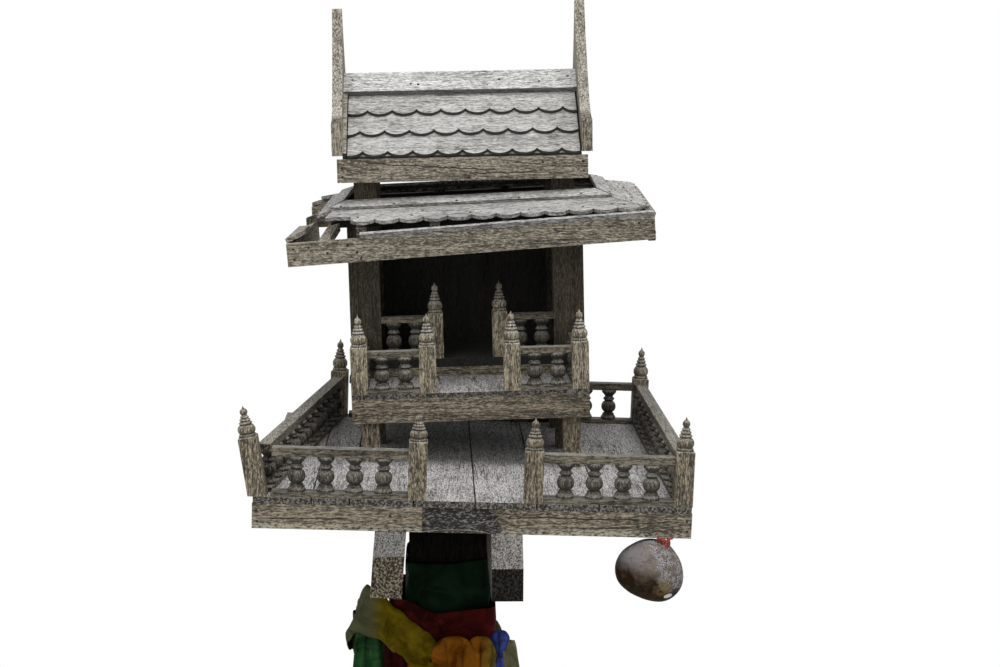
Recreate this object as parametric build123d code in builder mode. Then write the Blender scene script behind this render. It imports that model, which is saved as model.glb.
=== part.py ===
"""A small wooden spirit house on a planted post.

Millimetres. X runs to the right of the open front, Y to the back, Z up.
The origin is the middle of the post's foot. Age has tipped the terrace, the
house and its roofs by a few degrees each about the Y direction, and the skirt
roof has tilted and turned as well, so every part is drawn on a plane of its own.
"""
import os
from math import atan2, ceil, cos, degrees, hypot, radians, sin, tan

from build123d import *

os.makedirs("parts", exist_ok=True)

# Leans in degrees: a positive one drops the right-hand side
deck_lean = 1.7
house_lean = -1.7
skirt_lean = -3.15
skirt_tilt = 1.6
skirt_turn = -2.0
front_fascia_lean = -4.7
roof_lean = -1.35
left_beam_roll = 4.0
corner_post_lean = -8.7

# Post and the two beams that clasp it
post_width = 87.0
beam_width = 32.0
beam_height = 64.0
beam_reach = 25.0
left_bevel_drop = 19.0
right_bevel_drop = 30.0

# Terrace deck
deck_height = 1150.0
deck_shift = 25.0
deck_width = 450.0
deck_depth = 430.0
plank_thickness = 7.0
plank_gap = 1.5
plank_joints = (-165.0, -126.0, -61.0, 2.0, 65.0, 129.0)
rim_height = 26.0
rim_thickness = 10.0
joist_thickness = 12.0
rot_depth = 4.0
rot_left = -52.0
rot_right = 34.0

# Turned posts and balustrades of the terrace
terrace_post_width = 19.0
terrace_post_height = 58.0
finial_height = 35.0
gate_left = -57.6
gate_right = 61.3
left_gate_height = 61.0
left_gate_finial = 29.0
right_gate_height = 54.5
right_gate_finial = 33.0
back_finial = 39.0
slipped_height = 64.0
slipped_finial = 31.5
corner_post_slip = 4.2
rail_top = 50.5
rail_height = 8.5
rail_depth = 13.0
sole_height = 5.0
sole_depth = 17.0
baluster_radius = 9.3
baluster_pitch = 29.5
porch_baluster_pitch = 25.5
left_fence_splay = -8.0
fence_play = 1.5

# Porch in front of the house
porch_height = 84.0
porch_width = 262.0
porch_depth = 101.0
porch_plank = 5.0
porch_board_height = 27.0
porch_post_width = 18.5
porch_post_height = 53.0
porch_gate_post = 46.4
porch_rail_top = 47.0
porch_rail_height = 6.6
porch_sole_height = 4.0
leg_width = 19.0

# House body
house_setback = 21.0
house_depth = 150.0
house_width = 269.0
wall_thickness = 9.5
back_wall_thickness = 8.0
corner_post_width = 25.5
jamb_recess = 2.0
sill_rise = 21.0
sill_board_depth = 8.0
floor_thickness = 10.0
sill_post_width = 17.5
sill_post_height = 53.0
sill_post_place = 37.0
sill_rail_top = 49.0

# Skirt roof round the house: its left side has lost most of its shingles
skirt_shift = 26.5
skirt_width = 408.0
skirt_depth = 284.0
skirt_eave = 262.7
skirt_opening_inset = 63.0
skirt_rise = 22.3
fascia_height = 26.0
fascia_thickness = 8.0
front_fascia_drop = 3.1
ring_inset = 46.0
ring_rise = 15.5
ring_height = 15.0
ring_bar = 30.0
side_ring_bar = 45.0
rafter_width = 11.0
rafter_height = 8.0
rafter_places = (-122.0, -40.0, 40.0, 122.0)
top_board_width = 18.0
top_board_thickness = 3.5
skirt_course_length = 46.0
skirt_course_start = 6.4
starter_width = 12.0
front_starter_width = 5.0
starter_thickness = 5.0
broken_course_left = -133.0
broken_strip_left = -162.0
broken_strip_low = 19.0
broken_starter_left = -122.0
torn_edge = 28.5
torn_jag = 3.0
torn_count = 17
loose_plank_width = 22.0
loose_plank_outer = -13.0
loose_plank_inner = 69.0

# Rafter that has slipped at the front left corner: where its foot lies, and how it runs
slipped_rafter_x = -171.0
slipped_rafter_y = -133.0
slipped_rafter_drop = 10.0
slipped_rafter_turn = -25.0
slipped_rafter_pitch = 30.0
slipped_rafter_width = 13.0

# Upper roof
roof_shift = 17.4
roof_bottom = 310.7
roof_run = 88.0
roof_rise = 79.3
roof_half_length = 134.7
roof_fascia_length = 282.0
decking_thickness = 5.0
shingle_thickness = 4.0
shingle_length = 40.0
shingle_exposure = 32.9
shingle_pitch = 28.0
scallop_depth = 8.0
eave_overhang = 4.0
first_cusps = (17.0, 13.5, 22.0)
left_shingle_end = -129.0
right_shingle_end = 132.4
verge_batten_width = 4.5
verge_batten_height = 9.0
ridge_board_width = 21.0
ridge_board_thickness = 7.0
gable_board_thickness = 11.6
left_gable_tip = 195.0
right_gable_tip = 200.0
tail_bottom = 30.0
tail_top = 66.0
tail_reach = 8.0
shoulder_back = 32.0
shoulder_height = 92.0
gable_board_depth = 14.0
gable_panel_thickness = 6.0

# Seating clearance between pieces whose planes differ
seat_gap = 0.3

# Gourd tied under the front board
gourd_radius = 34.0
gourd_length = 71.0
gourd_inset = 43.6
gourd_middle_drop = 36.4
gourd_lean = 40.0
gourd_knot_radius = 5.5
gourd_knot_place = 13.0

# Cloths tied round the post: drop of the top and of the hem under the deck, and bulge to the left
cloth_thickness = 4.0
cloth_bands = {
    "green_cloth": (100.0, 270.0, 0.0),
    "red_cloth": (142.0, 315.0, 0.0),
    "yellow_cloth": (158.0, 380.0, 42.0),
    "orange_cloth": (185.0, 460.0, 0.0),
}


def leaning_plane(x, y, z, lean):
    """Plane at a point, turned about Y: a positive lean drops its right side."""
    turn = radians(lean)
    return Plane(origin=(x, y, z), x_dir=(cos(turn), 0, -sin(turn)), z_dir=(sin(turn), 0, cos(turn)))


def slabs(plane, low, high, rectangles):
    """Boards between two heights over a plane, each with a plan of x low, x high, y low, y high."""
    with BuildPart() as piece:
        with BuildSketch(plane.offset(low)):
            for left, right, front, back in rectangles:
                with Locations(((left + right) / 2, (front + back) / 2)):
                    Rectangle(right - left, back - front)
        extrude(amount=high - low)
    return piece


def mirrored_pair(inner, outer, front, back):
    """Plan rectangles of two like boards, one each side of the middle."""
    return [(-outer, -inner, front, back), (inner, outer, front, back)]


def slope_plane(base, azimuth, distance, height, pitch):
    """Plane of a roof slope: X along its eave, Y up the slope, Z outwards."""
    return Plane(base.location * Rot(0, 0, azimuth) * Pos(0, -distance, height) * Rot(pitch, 0, 0))


def cross_section(base, x, y=0.0, z=0.0):
    """Upright plane across a leaning one: its X runs to the back, its Y up, its normal to the right."""
    return Plane(base.location * Pos(x, y, z) * Rot(0, 0, 90) * Rot(90, 0, 0))


def turned_post(width, height, rise=finial_height):
    """Square post with a chamfered shoulder and a turned finial: ball, three rings, bud and tip."""
    radius = width / 2
    with BuildPart() as piece:
        with BuildSketch():
            Rectangle(width, width)
        extrude(amount=height)
        chamfer(piece.edges().group_by(Axis.Z)[-1], width * 0.06)
        with BuildSketch(Plane.XZ):
            with BuildLine():
                Polyline(
                    (0, height),
                    (radius * 0.88, height),
                    (radius * 0.94, height + rise * 0.04),
                    (radius * 0.78, height + rise * 0.08),
                )
                ThreePointArc(
                    (radius * 0.78, height + rise * 0.08),
                    (radius * 0.96, height + rise * 0.22),
                    (radius * 0.6, height + rise * 0.38),
                )
                Polyline(
                    (radius * 0.6, height + rise * 0.38),
                    (radius * 0.75, height + rise * 0.43),
                    (radius * 0.5, height + rise * 0.49),
                    (radius * 0.62, height + rise * 0.53),
                    (radius * 0.4, height + rise * 0.59),
                    (radius * 0.5, height + rise * 0.62),
                    (radius * 0.28, height + rise * 0.69),
                )
                ThreePointArc(
                    (radius * 0.28, height + rise * 0.69),
                    (radius * 0.42, height + rise * 0.79),
                    (radius * 0.14, height + rise * 0.9),
                )
                Polyline((radius * 0.14, height + rise * 0.9), (0, height + rise), (0, height))
            make_face()
        revolve(axis=Axis.Z)
    return piece


def turned_baluster(height, radius):
    """Turned baluster: flat foot ring, ball, sharp disc and cup, with necks between them."""
    with BuildPart() as piece:
        with BuildSketch(Plane.XZ):
            with BuildLine():
                Polyline(
                    (0, 0),
                    (radius * 0.95, 0),
                    (radius, height * 0.07),
                    (radius * 0.8, height * 0.14),
                    (radius * 0.74, height * 0.2),
                    (radius * 0.5, height * 0.23),
                )
                ThreePointArc(
                    (radius * 0.5, height * 0.23),
                    (radius * 0.97, height * 0.42),
                    (radius * 0.52, height * 0.62),
                )
                Polyline(
                    (radius * 0.52, height * 0.62),
                    (radius * 0.78, height * 0.69),
                    (radius * 0.5, height * 0.78),
                    (radius * 0.96, height * 0.92),
                    (radius * 0.96, height * 0.96),
                    (radius * 0.8, height),
                    (0, height),
                    (0, 0),
                )
            make_face()
        revolve(axis=Axis.Z)
    return piece


def balustrade(run, length, pitch, top, rail, sole, depth):
    """Sole, balusters and rail along the X of a plane whose origin is the run's middle."""
    turned = turned_baluster(top - rail - sole, baluster_radius)
    count = int(length // pitch)
    with BuildPart() as piece:
        with BuildSketch(run):
            Rectangle(length, sole_depth)
        extrude(amount=sole)
        with BuildSketch(run.offset(top - rail)):
            Rectangle(length, depth)
        extrude(amount=rail)
        places = [(number - (count - 1) / 2) * pitch for number in range(count)]
        with Locations(*(run.location * Pos(place, 0, sole) for place in places)):
            add(turned.part)
    return piece


def scalloped_course(plane, left, right, length, hip=0.0, thickness=shingle_thickness, start=0.0):
    """One course of shingles with rounded tips, narrowing by hip for each unit up the slope."""
    count = max(1, round((right - left) / shingle_pitch))
    pitch = (right - left) / count
    with BuildPart() as piece:
        with BuildSketch(plane):
            with BuildLine():
                for number in range(count):
                    tip = left + (number + 0.5) * pitch
                    ThreePointArc(
                        (tip - pitch / 2, scallop_depth),
                        (tip, 0),
                        (tip + pitch / 2, scallop_depth),
                    )
                Polyline(
                    (right, scallop_depth),
                    (right - hip * (length - scallop_depth), length),
                    (left + start * (length - scallop_depth), length),
                    (left, scallop_depth),
                )
            make_face()
        extrude(amount=thickness)
    return piece


def scalloped_board(plane, left, right, first_cusp, length):
    """One course of the upper roof, cut square at both ends, its first cusp at a distance from the left one."""
    start = left + first_cusp - shingle_pitch
    count = ceil((right - start) / shingle_pitch)
    with BuildPart() as piece:
        with BuildSketch(plane):
            with BuildLine():
                for number in range(count):
                    tip = start + (number + 0.5) * shingle_pitch
                    ThreePointArc(
                        (tip - shingle_pitch / 2, scallop_depth),
                        (tip, 0),
                        (tip + shingle_pitch / 2, scallop_depth),
                    )
                end = start + count * shingle_pitch
                Polyline((end, scallop_depth), (end, length), (start, length), (start, scallop_depth))
            make_face()
            with Locations(((left + right) / 2, length / 2)):
                Rectangle(right - left, length, mode=Mode.INTERSECT)
        extrude(amount=shingle_thickness)
    return piece


# Planes that each storey is drawn on
half_width = deck_width / 2
half_depth = deck_depth / 2
half_skirt = skirt_width / 2
half_skirt_depth = skirt_depth / 2
house_back = half_depth - house_setback
house_front = house_back - house_depth
porch_front = house_front - porch_depth
house_middle = house_front + house_depth / 2
skirt_front = house_middle - half_skirt_depth

ground = Plane.XY
deck = leaning_plane(deck_shift, 0, deck_height, deck_lean)
under_planks = deck.offset(-plank_thickness)
under_rim = under_planks.offset(-rim_height)
porch = leaning_plane(deck_shift, 0, deck_height + porch_height, house_lean)
skirt_base = deck_height + skirt_eave - fascia_height
skirt = Plane(
    leaning_plane(skirt_shift, skirt_front, skirt_base, skirt_lean).location
    * Rot(skirt_tilt, 0, skirt_turn)
    * Pos(0, half_skirt_depth, 0)
)
front_fascia_plane = Plane(
    leaning_plane(skirt_shift, skirt_front, skirt_base - front_fascia_drop, front_fascia_lean).location
    * Rot(0, 0, skirt_turn)
    * Pos(0, half_skirt_depth, 0)
)
roof = leaning_plane(roof_shift, house_middle, deck_height + roof_bottom, roof_lean)

# Post, cut off under the planks
with BuildPart() as post:
    with BuildSketch(ground):
        Rectangle(post_width, post_width)
    extrude(amount=deck_height)
    split(bisect_by=under_planks, keep=Keep.BOTTOM)


def beam(side_plane, left, right, bevel_drop):
    """Beam from front to back with a bevelled nose at each end, cut off under the rim boards."""
    half = deck_depth / 2
    with BuildPart() as piece:
        with BuildSketch(side_plane.offset(-beam_height)):
            with Locations(((left + right) / 2, 0)):
                Rectangle(right - left, 2 * (half + beam_reach))
        extrude(amount=beam_height * 1.2)
        split(bisect_by=under_rim, keep=Keep.BOTTOM)
        for facing in (-1, 1):
            nose = Plane(
                origin=(side_plane.origin.X, facing * half, side_plane.origin.Z),
                x_dir=(1, 0, 0),
                z_dir=(0, facing * bevel_drop, beam_reach),
            )
            split(bisect_by=nose, keep=Keep.BOTTOM)
    return piece


# Beams
def rim_underside(x):
    """Height of the rim boards' underside at a place across the deck."""
    return deck_height - (plank_thickness + rim_height) - (x - deck_shift) * tan(radians(deck_lean))


half_post = post_width / 2
left_side = leaning_plane(-half_post, 0, rim_underside(-half_post), left_beam_roll)
right_side = leaning_plane(half_post, 0, rim_underside(half_post), 0)
left_beam = beam(left_side, -beam_width, 0, left_bevel_drop)
right_beam = beam(right_side, 0, beam_width, right_bevel_drop)

# Rim boards, joists and planks of the terrace
inner_width = half_width - rim_thickness
inner_depth = half_depth - rim_thickness

rotten_face = Plane(
    origin=under_rim.location.position + under_rim.y_dir * -half_depth,
    x_dir=under_rim.x_dir,
    z_dir=(0, -1, 0),
)
with BuildPart() as front_board:
    add(slabs(under_rim, 0, rim_height, [(-half_width, half_width, -half_depth, -inner_depth)]).part)
    with BuildSketch(rotten_face):
        with BuildLine():
            Polyline(
                (rot_left, 0),
                (rot_left, rim_height),
                (rot_right, rim_height),
                (rot_right - 8, rim_height - 9),
                (rot_right - 18, rim_height - 20),
                (rot_right - 14, 0),
            )
            ThreePointArc((rot_right - 14, 0), (rot_left / 2 + rot_right / 2 - 10, 3), (rot_left, 0))
        make_face()
    extrude(amount=-rot_depth, mode=Mode.SUBTRACT)

back_board = slabs(under_rim, 0, rim_height, [(-half_width, half_width, inner_depth, half_depth)])
side_boards = slabs(
    under_rim, 0, rim_height, mirrored_pair(inner_width, half_width, -inner_depth, inner_depth)
)
joists = slabs(
    under_rim,
    0,
    rim_height,
    [
        (-inner_width, inner_width, -half_post - joist_thickness, -half_post),
        (-inner_width, inner_width, half_post, half_post + joist_thickness),
    ],
)
plank_edges = (-half_width, *plank_joints, half_width)
deck_planks = slabs(
    under_planks,
    0,
    plank_thickness,
    [
        (left + plank_gap / 2, right - plank_gap / 2, -half_depth, half_depth)
        for left, right in zip(plank_edges, plank_edges[1:])
    ],
)

# Turned posts of the terrace: one corner post has slipped and leans out
post_inset = terrace_post_width / 2
post_row = half_depth - post_inset
corner_place = half_width - post_inset
side_run = 2 * (post_row - post_inset)
left_fence_foot = Plane(
    deck.location
    * Pos(-corner_place, -post_row + post_inset + fence_play, 0)
    * Rot(0, 0, 90 + left_fence_splay)
)
back_left_place = (side_run + post_inset) * sin(radians(-left_fence_splay)) - corner_place
with BuildPart() as terrace_posts:
    with Locations(deck.location * Pos(gate_left, -post_row, 0)):
        add(turned_post(terrace_post_width, left_gate_height, left_gate_finial).part)
    with Locations(deck.location * Pos(gate_right, -post_row, 0)):
        add(turned_post(terrace_post_width, right_gate_height, right_gate_finial).part)
    with Locations(deck.location * Pos(corner_place, -post_row, 0)):
        add(turned_post(terrace_post_width, terrace_post_height).part)
    with Locations(
        deck.location * Pos(corner_place, post_row, 0),
        left_fence_foot.location * Pos(side_run + post_inset + fence_play, 0, 0),
    ):
        add(turned_post(terrace_post_width, terrace_post_height, back_finial).part)

with BuildPart() as leaning_corner_post:
    lean_turn = Rot(0, corner_post_lean - deck_lean, 0)
    foot = Pos(-corner_place - corner_post_slip, -post_row, -1)
    with Locations(deck.location * foot * lean_turn * Pos(0, 0, -1)):
        add(turned_post(terrace_post_width, slipped_height, slipped_finial).part)
    split(bisect_by=deck, keep=Keep.TOP)


def fence_run(x, y, azimuth=0.0):
    """Plane on the deck for a balustrade: its X runs along the fence."""
    return Plane(deck.location * Pos(x, y, 0) * Rot(0, 0, azimuth))


left_bay_start = -corner_place + post_inset
left_bay_end = gate_left - post_inset
right_bay_start = gate_right + post_inset
right_bay_end = corner_place - post_inset
back_start = back_left_place + post_inset + 2 * fence_play
back_end = corner_place - post_inset


def terrace_fence(run, length):
    """Balustrade of the terrace along a plane."""
    return balustrade(run, length, baluster_pitch, rail_top, rail_height, sole_height, rail_depth)


front_left_balustrade = terrace_fence(
    fence_run((left_bay_start + left_bay_end) / 2, -post_row), left_bay_end - left_bay_start
)
front_right_balustrade = terrace_fence(
    fence_run((right_bay_start + right_bay_end) / 2, -post_row), right_bay_end - right_bay_start
)
right_balustrade = terrace_fence(fence_run(corner_place, 0, 90), side_run)
back_balustrade = terrace_fence(fence_run((back_start + back_end) / 2, post_row), back_end - back_start)
left_balustrade = terrace_fence(Plane(left_fence_foot.location * Pos(side_run / 2, 0, 0)), side_run)

# Porch: a raised platform with posts, legs and short balustrades
half_porch = porch_width / 2
porch_underside = -porch_plank - porch_board_height
porch_inner = half_porch - rim_thickness
leg_front = porch_front + rim_thickness
porch_floor = slabs(porch, -porch_plank, 0, [(-half_porch, half_porch, porch_front, house_front)])
porch_boards = slabs(
    porch,
    porch_underside,
    -porch_plank,
    [(-half_porch, half_porch, porch_front, leg_front)]
    + mirrored_pair(porch_inner, half_porch, leg_front + seat_gap, house_front),
)
leg_places = mirrored_pair(porch_inner - leg_width, porch_inner, leg_front, leg_front + leg_width)
with BuildPart() as porch_legs:
    add(slabs(porch, -porch_height * 1.6, -porch_plank, leg_places).part)
    split(bisect_by=deck, keep=Keep.TOP)

porch_inset = porch_post_width / 2
porch_row = porch_front + porch_inset
porch_corner = half_porch - porch_inset
porch_post = turned_post(porch_post_width, porch_post_height)
with BuildPart() as porch_posts:
    places = (-porch_corner, -porch_gate_post, porch_gate_post, porch_corner)
    with Locations(*(porch.location * Pos(x, porch_row, 0) for x in places)):
        add(porch_post.part)

porch_bay = porch_corner - porch_gate_post - porch_post_width
porch_bay_middle = (porch_corner + porch_gate_post) / 2
porch_side_run = house_front - porch_front - porch_post_width


def porch_fence(x, y, azimuth, length):
    """Short balustrade on the porch floor."""
    run = Plane(porch.location * Pos(x, y, 0) * Rot(0, 0, azimuth))
    return balustrade(
        run, length, porch_baluster_pitch, porch_rail_top, porch_rail_height, porch_sole_height, rail_depth
    )


porch_side_middle = porch_front + porch_post_width + porch_side_run / 2
with BuildPart() as porch_balustrades:
    add(porch_fence(-porch_bay_middle, porch_row, 0, porch_bay).part)
    add(porch_fence(porch_bay_middle, porch_row, 0, porch_bay).part)
    add(porch_fence(-porch_corner, porch_side_middle, 90, porch_side_run).part)
    add(porch_fence(porch_corner, porch_side_middle, 90, porch_side_run).part)

# House body: corner posts, walls, floor and sill
half_house = house_width / 2
wall_inner = half_house - wall_thickness
jamb_inner = wall_inner - corner_post_width
post_front = house_front + jamb_recess
post_back = house_back - back_wall_thickness
roof_pitch = degrees(atan2(roof_rise, roof_run))
skirt_pitch = degrees(atan2(skirt_rise, skirt_opening_inset))

roof_slopes = [
    slope_plane(roof, azimuth, roof_run, fascia_height, roof_pitch) for azimuth in (0, 180)
]
corner_places = mirrored_pair(
    jamb_inner, wall_inner, post_front, post_front + corner_post_width
) + mirrored_pair(jamb_inner, wall_inner, post_back - corner_post_width, post_back)
with BuildPart() as corner_posts:
    add(slabs(porch, -porch_height * 1.6, roof_bottom, corner_places).part)
    split(bisect_by=deck, keep=Keep.TOP)
    for slope in roof_slopes:
        split(bisect_by=slope.offset(-decking_thickness), keep=Keep.BOTTOM)

ring_top = fascia_height + ring_rise
wall_top_plane = skirt.offset(ring_top)
wall_reach = skirt_eave + ring_top


def wall(rectangles):
    """House wall from the porch boards' underside up to the skirt roof's ring."""
    with BuildPart() as piece:
        add(slabs(porch, porch_underside, wall_reach, rectangles).part)
        split(bisect_by=wall_top_plane, keep=Keep.BOTTOM)
    return piece


left_wall = wall([(-half_house, -wall_inner, house_front, house_back)])
right_wall = wall([(wall_inner, half_house, house_front, house_back)])
back_wall = wall([(-wall_inner, wall_inner, post_back, house_back)])

with BuildPart() as house_floor:
    with BuildSketch(porch.offset(sill_rise - floor_thickness)):
        with Locations((0, (house_front + post_back) / 2)):
            Rectangle(2 * wall_inner, post_back - house_front)
        for side in (-1, 1):
            for y in (post_front, post_back - corner_post_width):
                with Locations((side * (jamb_inner + wall_inner) / 2, y + corner_post_width / 2)):
                    Rectangle(corner_post_width, corner_post_width, mode=Mode.SUBTRACT)
    extrude(amount=floor_thickness)
sill_board = slabs(
    porch,
    0,
    sill_rise - floor_thickness,
    [(-jamb_inner, jamb_inner, house_front, house_front + sill_board_depth)],
)

sill_inset = sill_post_width / 2
sill_post = turned_post(sill_post_width, sill_post_height)
sill_row = house_front + sill_inset
sill_plane = porch.offset(sill_rise)
with BuildPart() as sill_posts:
    with Locations(*(sill_plane.location * Pos(x, sill_row, 0) for x in (-sill_post_place, sill_post_place))):
        add(sill_post.part)
sill_bay = jamb_inner - sill_post_place - sill_inset
sill_bay_middle = (jamb_inner + sill_post_place + sill_inset) / 2
with BuildPart() as sill_balustrades:
    for side in (-1, 1):
        run = Plane(sill_plane.location * Pos(side * sill_bay_middle, sill_row, 0))
        add(
            balustrade(
                run,
                sill_bay,
                porch_baluster_pitch,
                sill_rail_top,
                porch_rail_height,
                porch_sole_height,
                rail_depth,
            ).part
        )

# Skirt roof: fascias, ring, rafters and its four slopes
side_fascia_end = half_skirt_depth - fascia_thickness
far_out = 2 * half_skirt
skirt_front_fascia = slabs(
    front_fascia_plane,
    0,
    fascia_height,
    [(-half_skirt, half_skirt, -half_skirt_depth, -side_fascia_end)],
)
skirt_back_fascia = slabs(
    skirt, 0, fascia_height, [(-half_skirt, half_skirt, side_fascia_end, half_skirt_depth)]
)
behind_front = slabs(
    front_fascia_plane, -far_out, far_out, [(-far_out, far_out, seat_gap - side_fascia_end, far_out)]
)
before_back = slabs(skirt, -far_out, far_out, [(-far_out, far_out, -far_out, side_fascia_end)])
with BuildPart() as skirt_side_fascias:
    inner_face = half_skirt - fascia_thickness
    side_length = (-half_skirt_depth, half_skirt_depth)
    add(slabs(skirt, 0, fascia_height, [(inner_face, half_skirt, *side_length)]).part)
    add(slabs(front_fascia_plane, 0, fascia_height, [(-half_skirt, -inner_face, *side_length)]).part)
    add(behind_front.part, mode=Mode.INTERSECT)
    add(before_back.part, mode=Mode.INTERSECT)

ring_half_width = half_skirt - ring_inset
ring_half_depth = half_skirt_depth - ring_inset
side_bar = ring_half_depth - ring_bar - seat_gap
with BuildPart() as skirt_ring:
    with BuildSketch(skirt.offset(ring_top - ring_height)):
        for end in (-1, 1):
            with Locations((0, end * (ring_half_depth - ring_bar / 2))):
                Rectangle(2 * ring_half_width, ring_bar)
            with Locations((end * (ring_half_width - side_ring_bar / 2), 0)):
                Rectangle(side_ring_bar, 2 * side_bar)
    extrude(amount=ring_height)
    with BuildSketch(porch):
        with Locations((0, house_middle)):
            Rectangle(house_width + 2 * seat_gap, house_depth + 2 * seat_gap)
    extrude(amount=wall_reach * 2, mode=Mode.SUBTRACT)

hip_run = hypot(skirt_opening_inset, skirt_opening_inset)
hip_pitch = degrees(atan2(skirt_rise, hip_run))
slope_length = hypot(skirt_opening_inset, skirt_rise)
ring_block = slabs(
    skirt, 0, ring_top, [(-ring_half_width, ring_half_width, -ring_half_depth, ring_half_depth)]
)
slipped_foot = Plane(
    front_fascia_plane.location
    * Pos(slipped_rafter_x, slipped_rafter_y, fascia_height - slipped_rafter_drop)
    * Rot(0, 0, slipped_rafter_turn)
    * Rot(slipped_rafter_pitch, 0, 0)
)
with BuildPart() as rafters:
    for side_x, side_y, azimuth in ((1, -1, 45), (1, 1, 135), (-1, 1, 225)):
        hip_plane = Plane(
            skirt.location
            * Pos(side_x * half_skirt, side_y * half_skirt_depth, fascia_height)
            * Rot(0, 0, azimuth)
            * Rot(hip_pitch, 0, 0)
        )
        with BuildSketch(hip_plane.offset(-rafter_height - 2)):
            with Locations((0, hip_run / 2)):
                Rectangle(rafter_width, hip_run - rafter_width)
        extrude(amount=rafter_height)
    for azimuth, places, distance in (
        (0, rafter_places, half_skirt_depth),
        (180, rafter_places, half_skirt_depth),
        (90, (0,), half_skirt),
        (270, (0,), half_skirt),
    ):
        slope = slope_plane(skirt, azimuth, distance, fascia_height, skirt_pitch)
        with BuildSketch(slope.offset(-rafter_height - seat_gap)):
            with Locations(*((place, slope_length / 2 - rafter_height) for place in places)):
                Rectangle(rafter_width, slope_length)
        extrude(amount=rafter_height)
    with BuildSketch(slipped_foot):
        with Locations((0, ring_inset / 2)):
            Rectangle(slipped_rafter_width, 2 * ring_inset)
    extrude(amount=-rafter_height)
    with BuildSketch(skirt):
        Rectangle(skirt_width - 2 * fascia_thickness, skirt_depth - 2 * fascia_thickness)
    extrude(amount=skirt_rise * 3, both=True, mode=Mode.INTERSECT)
    add(behind_front.part, mode=Mode.INTERSECT)
    add(ring_block.part, mode=Mode.SUBTRACT)

starter_cover = starter_width - skirt_course_start
skirt_course_lift = starter_thickness * skirt_course_length / (skirt_course_length - starter_cover)
skirt_course_tilt = degrees(atan2(skirt_course_lift, skirt_course_length))
hip_narrowing = skirt_opening_inset / slope_length
skirt_slopes = {
    "front": (slope_plane(skirt, 0, half_skirt_depth, fascia_height, skirt_pitch), half_skirt),
    "right": (slope_plane(skirt, 90, half_skirt, fascia_height, skirt_pitch), half_skirt_depth),
    "back": (slope_plane(skirt, 180, half_skirt_depth, fascia_height, skirt_pitch), half_skirt),
    "left": (slope_plane(skirt, 270, half_skirt, fascia_height, skirt_pitch), half_skirt_depth),
}


def tapered_board(plane, half_eave, high, thickness, left=None):
    """Board along a slope with ends mitred at the hips, or broken off square at left."""
    high_half = half_eave - high * hip_narrowing
    with BuildPart() as piece:
        with BuildSketch(plane):
            Polygon(
                (-half_eave if left is None else left, 0),
                (half_eave, 0),
                (high_half, high),
                (-high_half if left is None else left, high),
                align=None,
            )
        extrude(amount=thickness)
    return piece


def course_plane(side):
    """Plane under the shingle course of one slope: its tips are lifted by the starter strip."""
    slope = skirt_slopes[side][0]
    return Plane(
        slope.location * Pos(0, skirt_course_start, skirt_course_lift) * Rot(-skirt_course_tilt, 0, 0)
    )


def course_half(side, up):
    """Half length of a course at a distance up from its tips."""
    return skirt_slopes[side][1] - (skirt_course_start + up) * hip_narrowing


def skirt_course(side, left=None):
    """Shingle course on one slope of the skirt, its tips lying on the starter strip."""
    low_half = course_half(side, scallop_depth)
    start = hip_narrowing if left is None else 0.0
    return scalloped_course(
        course_plane(side),
        -low_half if left is None else left,
        low_half,
        skirt_course_length,
        hip_narrowing,
        start=start,
    )


# The left plank is broken off, and the front strip has lost its left part
left_eave = slope_plane(front_fascia_plane, 270, half_skirt, fascia_height, skirt_pitch)
with BuildPart() as starter_strips:
    for side in ("right", "back"):
        slope, half_eave = skirt_slopes[side]
        add(tapered_board(slope, half_eave, starter_width, starter_thickness).part)
    with BuildSketch(left_eave):
        Polygon(
            (loose_plank_outer, 0),
            (half_skirt_depth, 0),
            (half_skirt_depth - loose_plank_width * hip_narrowing, loose_plank_width),
            (loose_plank_inner, loose_plank_width),
            align=None,
        )
    extrude(amount=starter_thickness)
    add(behind_front.part, mode=Mode.INTERSECT)
front_eave = slope_plane(front_fascia_plane, 0, half_skirt_depth, fascia_height, skirt_pitch)
front_starter = tapered_board(
    front_eave, half_skirt, front_starter_width, starter_thickness, broken_starter_left
)

covered = slope_length - top_board_width - skirt_course_start
top_board_lift = (
    skirt_course_lift * (1 - covered / skirt_course_length) + shingle_thickness + seat_gap
)
with BuildPart() as skirt_top_boards:
    for slope, half_eave in skirt_slopes.values():
        foot = slope_length - top_board_width
        plane = Plane(slope.location * Pos(0, foot, top_board_lift))
        add(
            tapered_board(
                plane, half_eave - foot * hip_narrowing, top_board_width, top_board_thickness
            ).part
        )

skirt_right_shingles = skirt_course("right")
skirt_back_shingles = skirt_course("back")
with BuildPart() as skirt_front_shingles:
    add(skirt_course("front", broken_course_left).part)
    with BuildSketch(course_plane("front")):
        Polygon(
            (broken_strip_left, broken_strip_low),
            (broken_course_left + 1, broken_strip_low),
            (broken_course_left + 1, skirt_course_length),
            (-course_half("front", skirt_course_length), skirt_course_length),
            align=None,
        )
    extrude(amount=shingle_thickness)
with BuildPart() as skirt_left_shingles:
    front_end = course_half("left", torn_edge)
    step = 2 * front_end / (torn_count - 1)
    top_end = course_half("left", skirt_course_length)
    with BuildSketch(course_plane("left")):
        Polygon(
            *((number * step - front_end, torn_edge + torn_jag * (number % 2)) for number in range(torn_count)),
            (top_end, skirt_course_length),
            (-top_end, skirt_course_length),
            align=None,
        )
    extrude(amount=shingle_thickness)

# Upper roof: decking, fascias, shingle courses, ridge boards and gable boards
eave_lift = shingle_thickness * shingle_length / shingle_exposure
roof_slope_length = hypot(roof_run, roof_rise)


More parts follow.
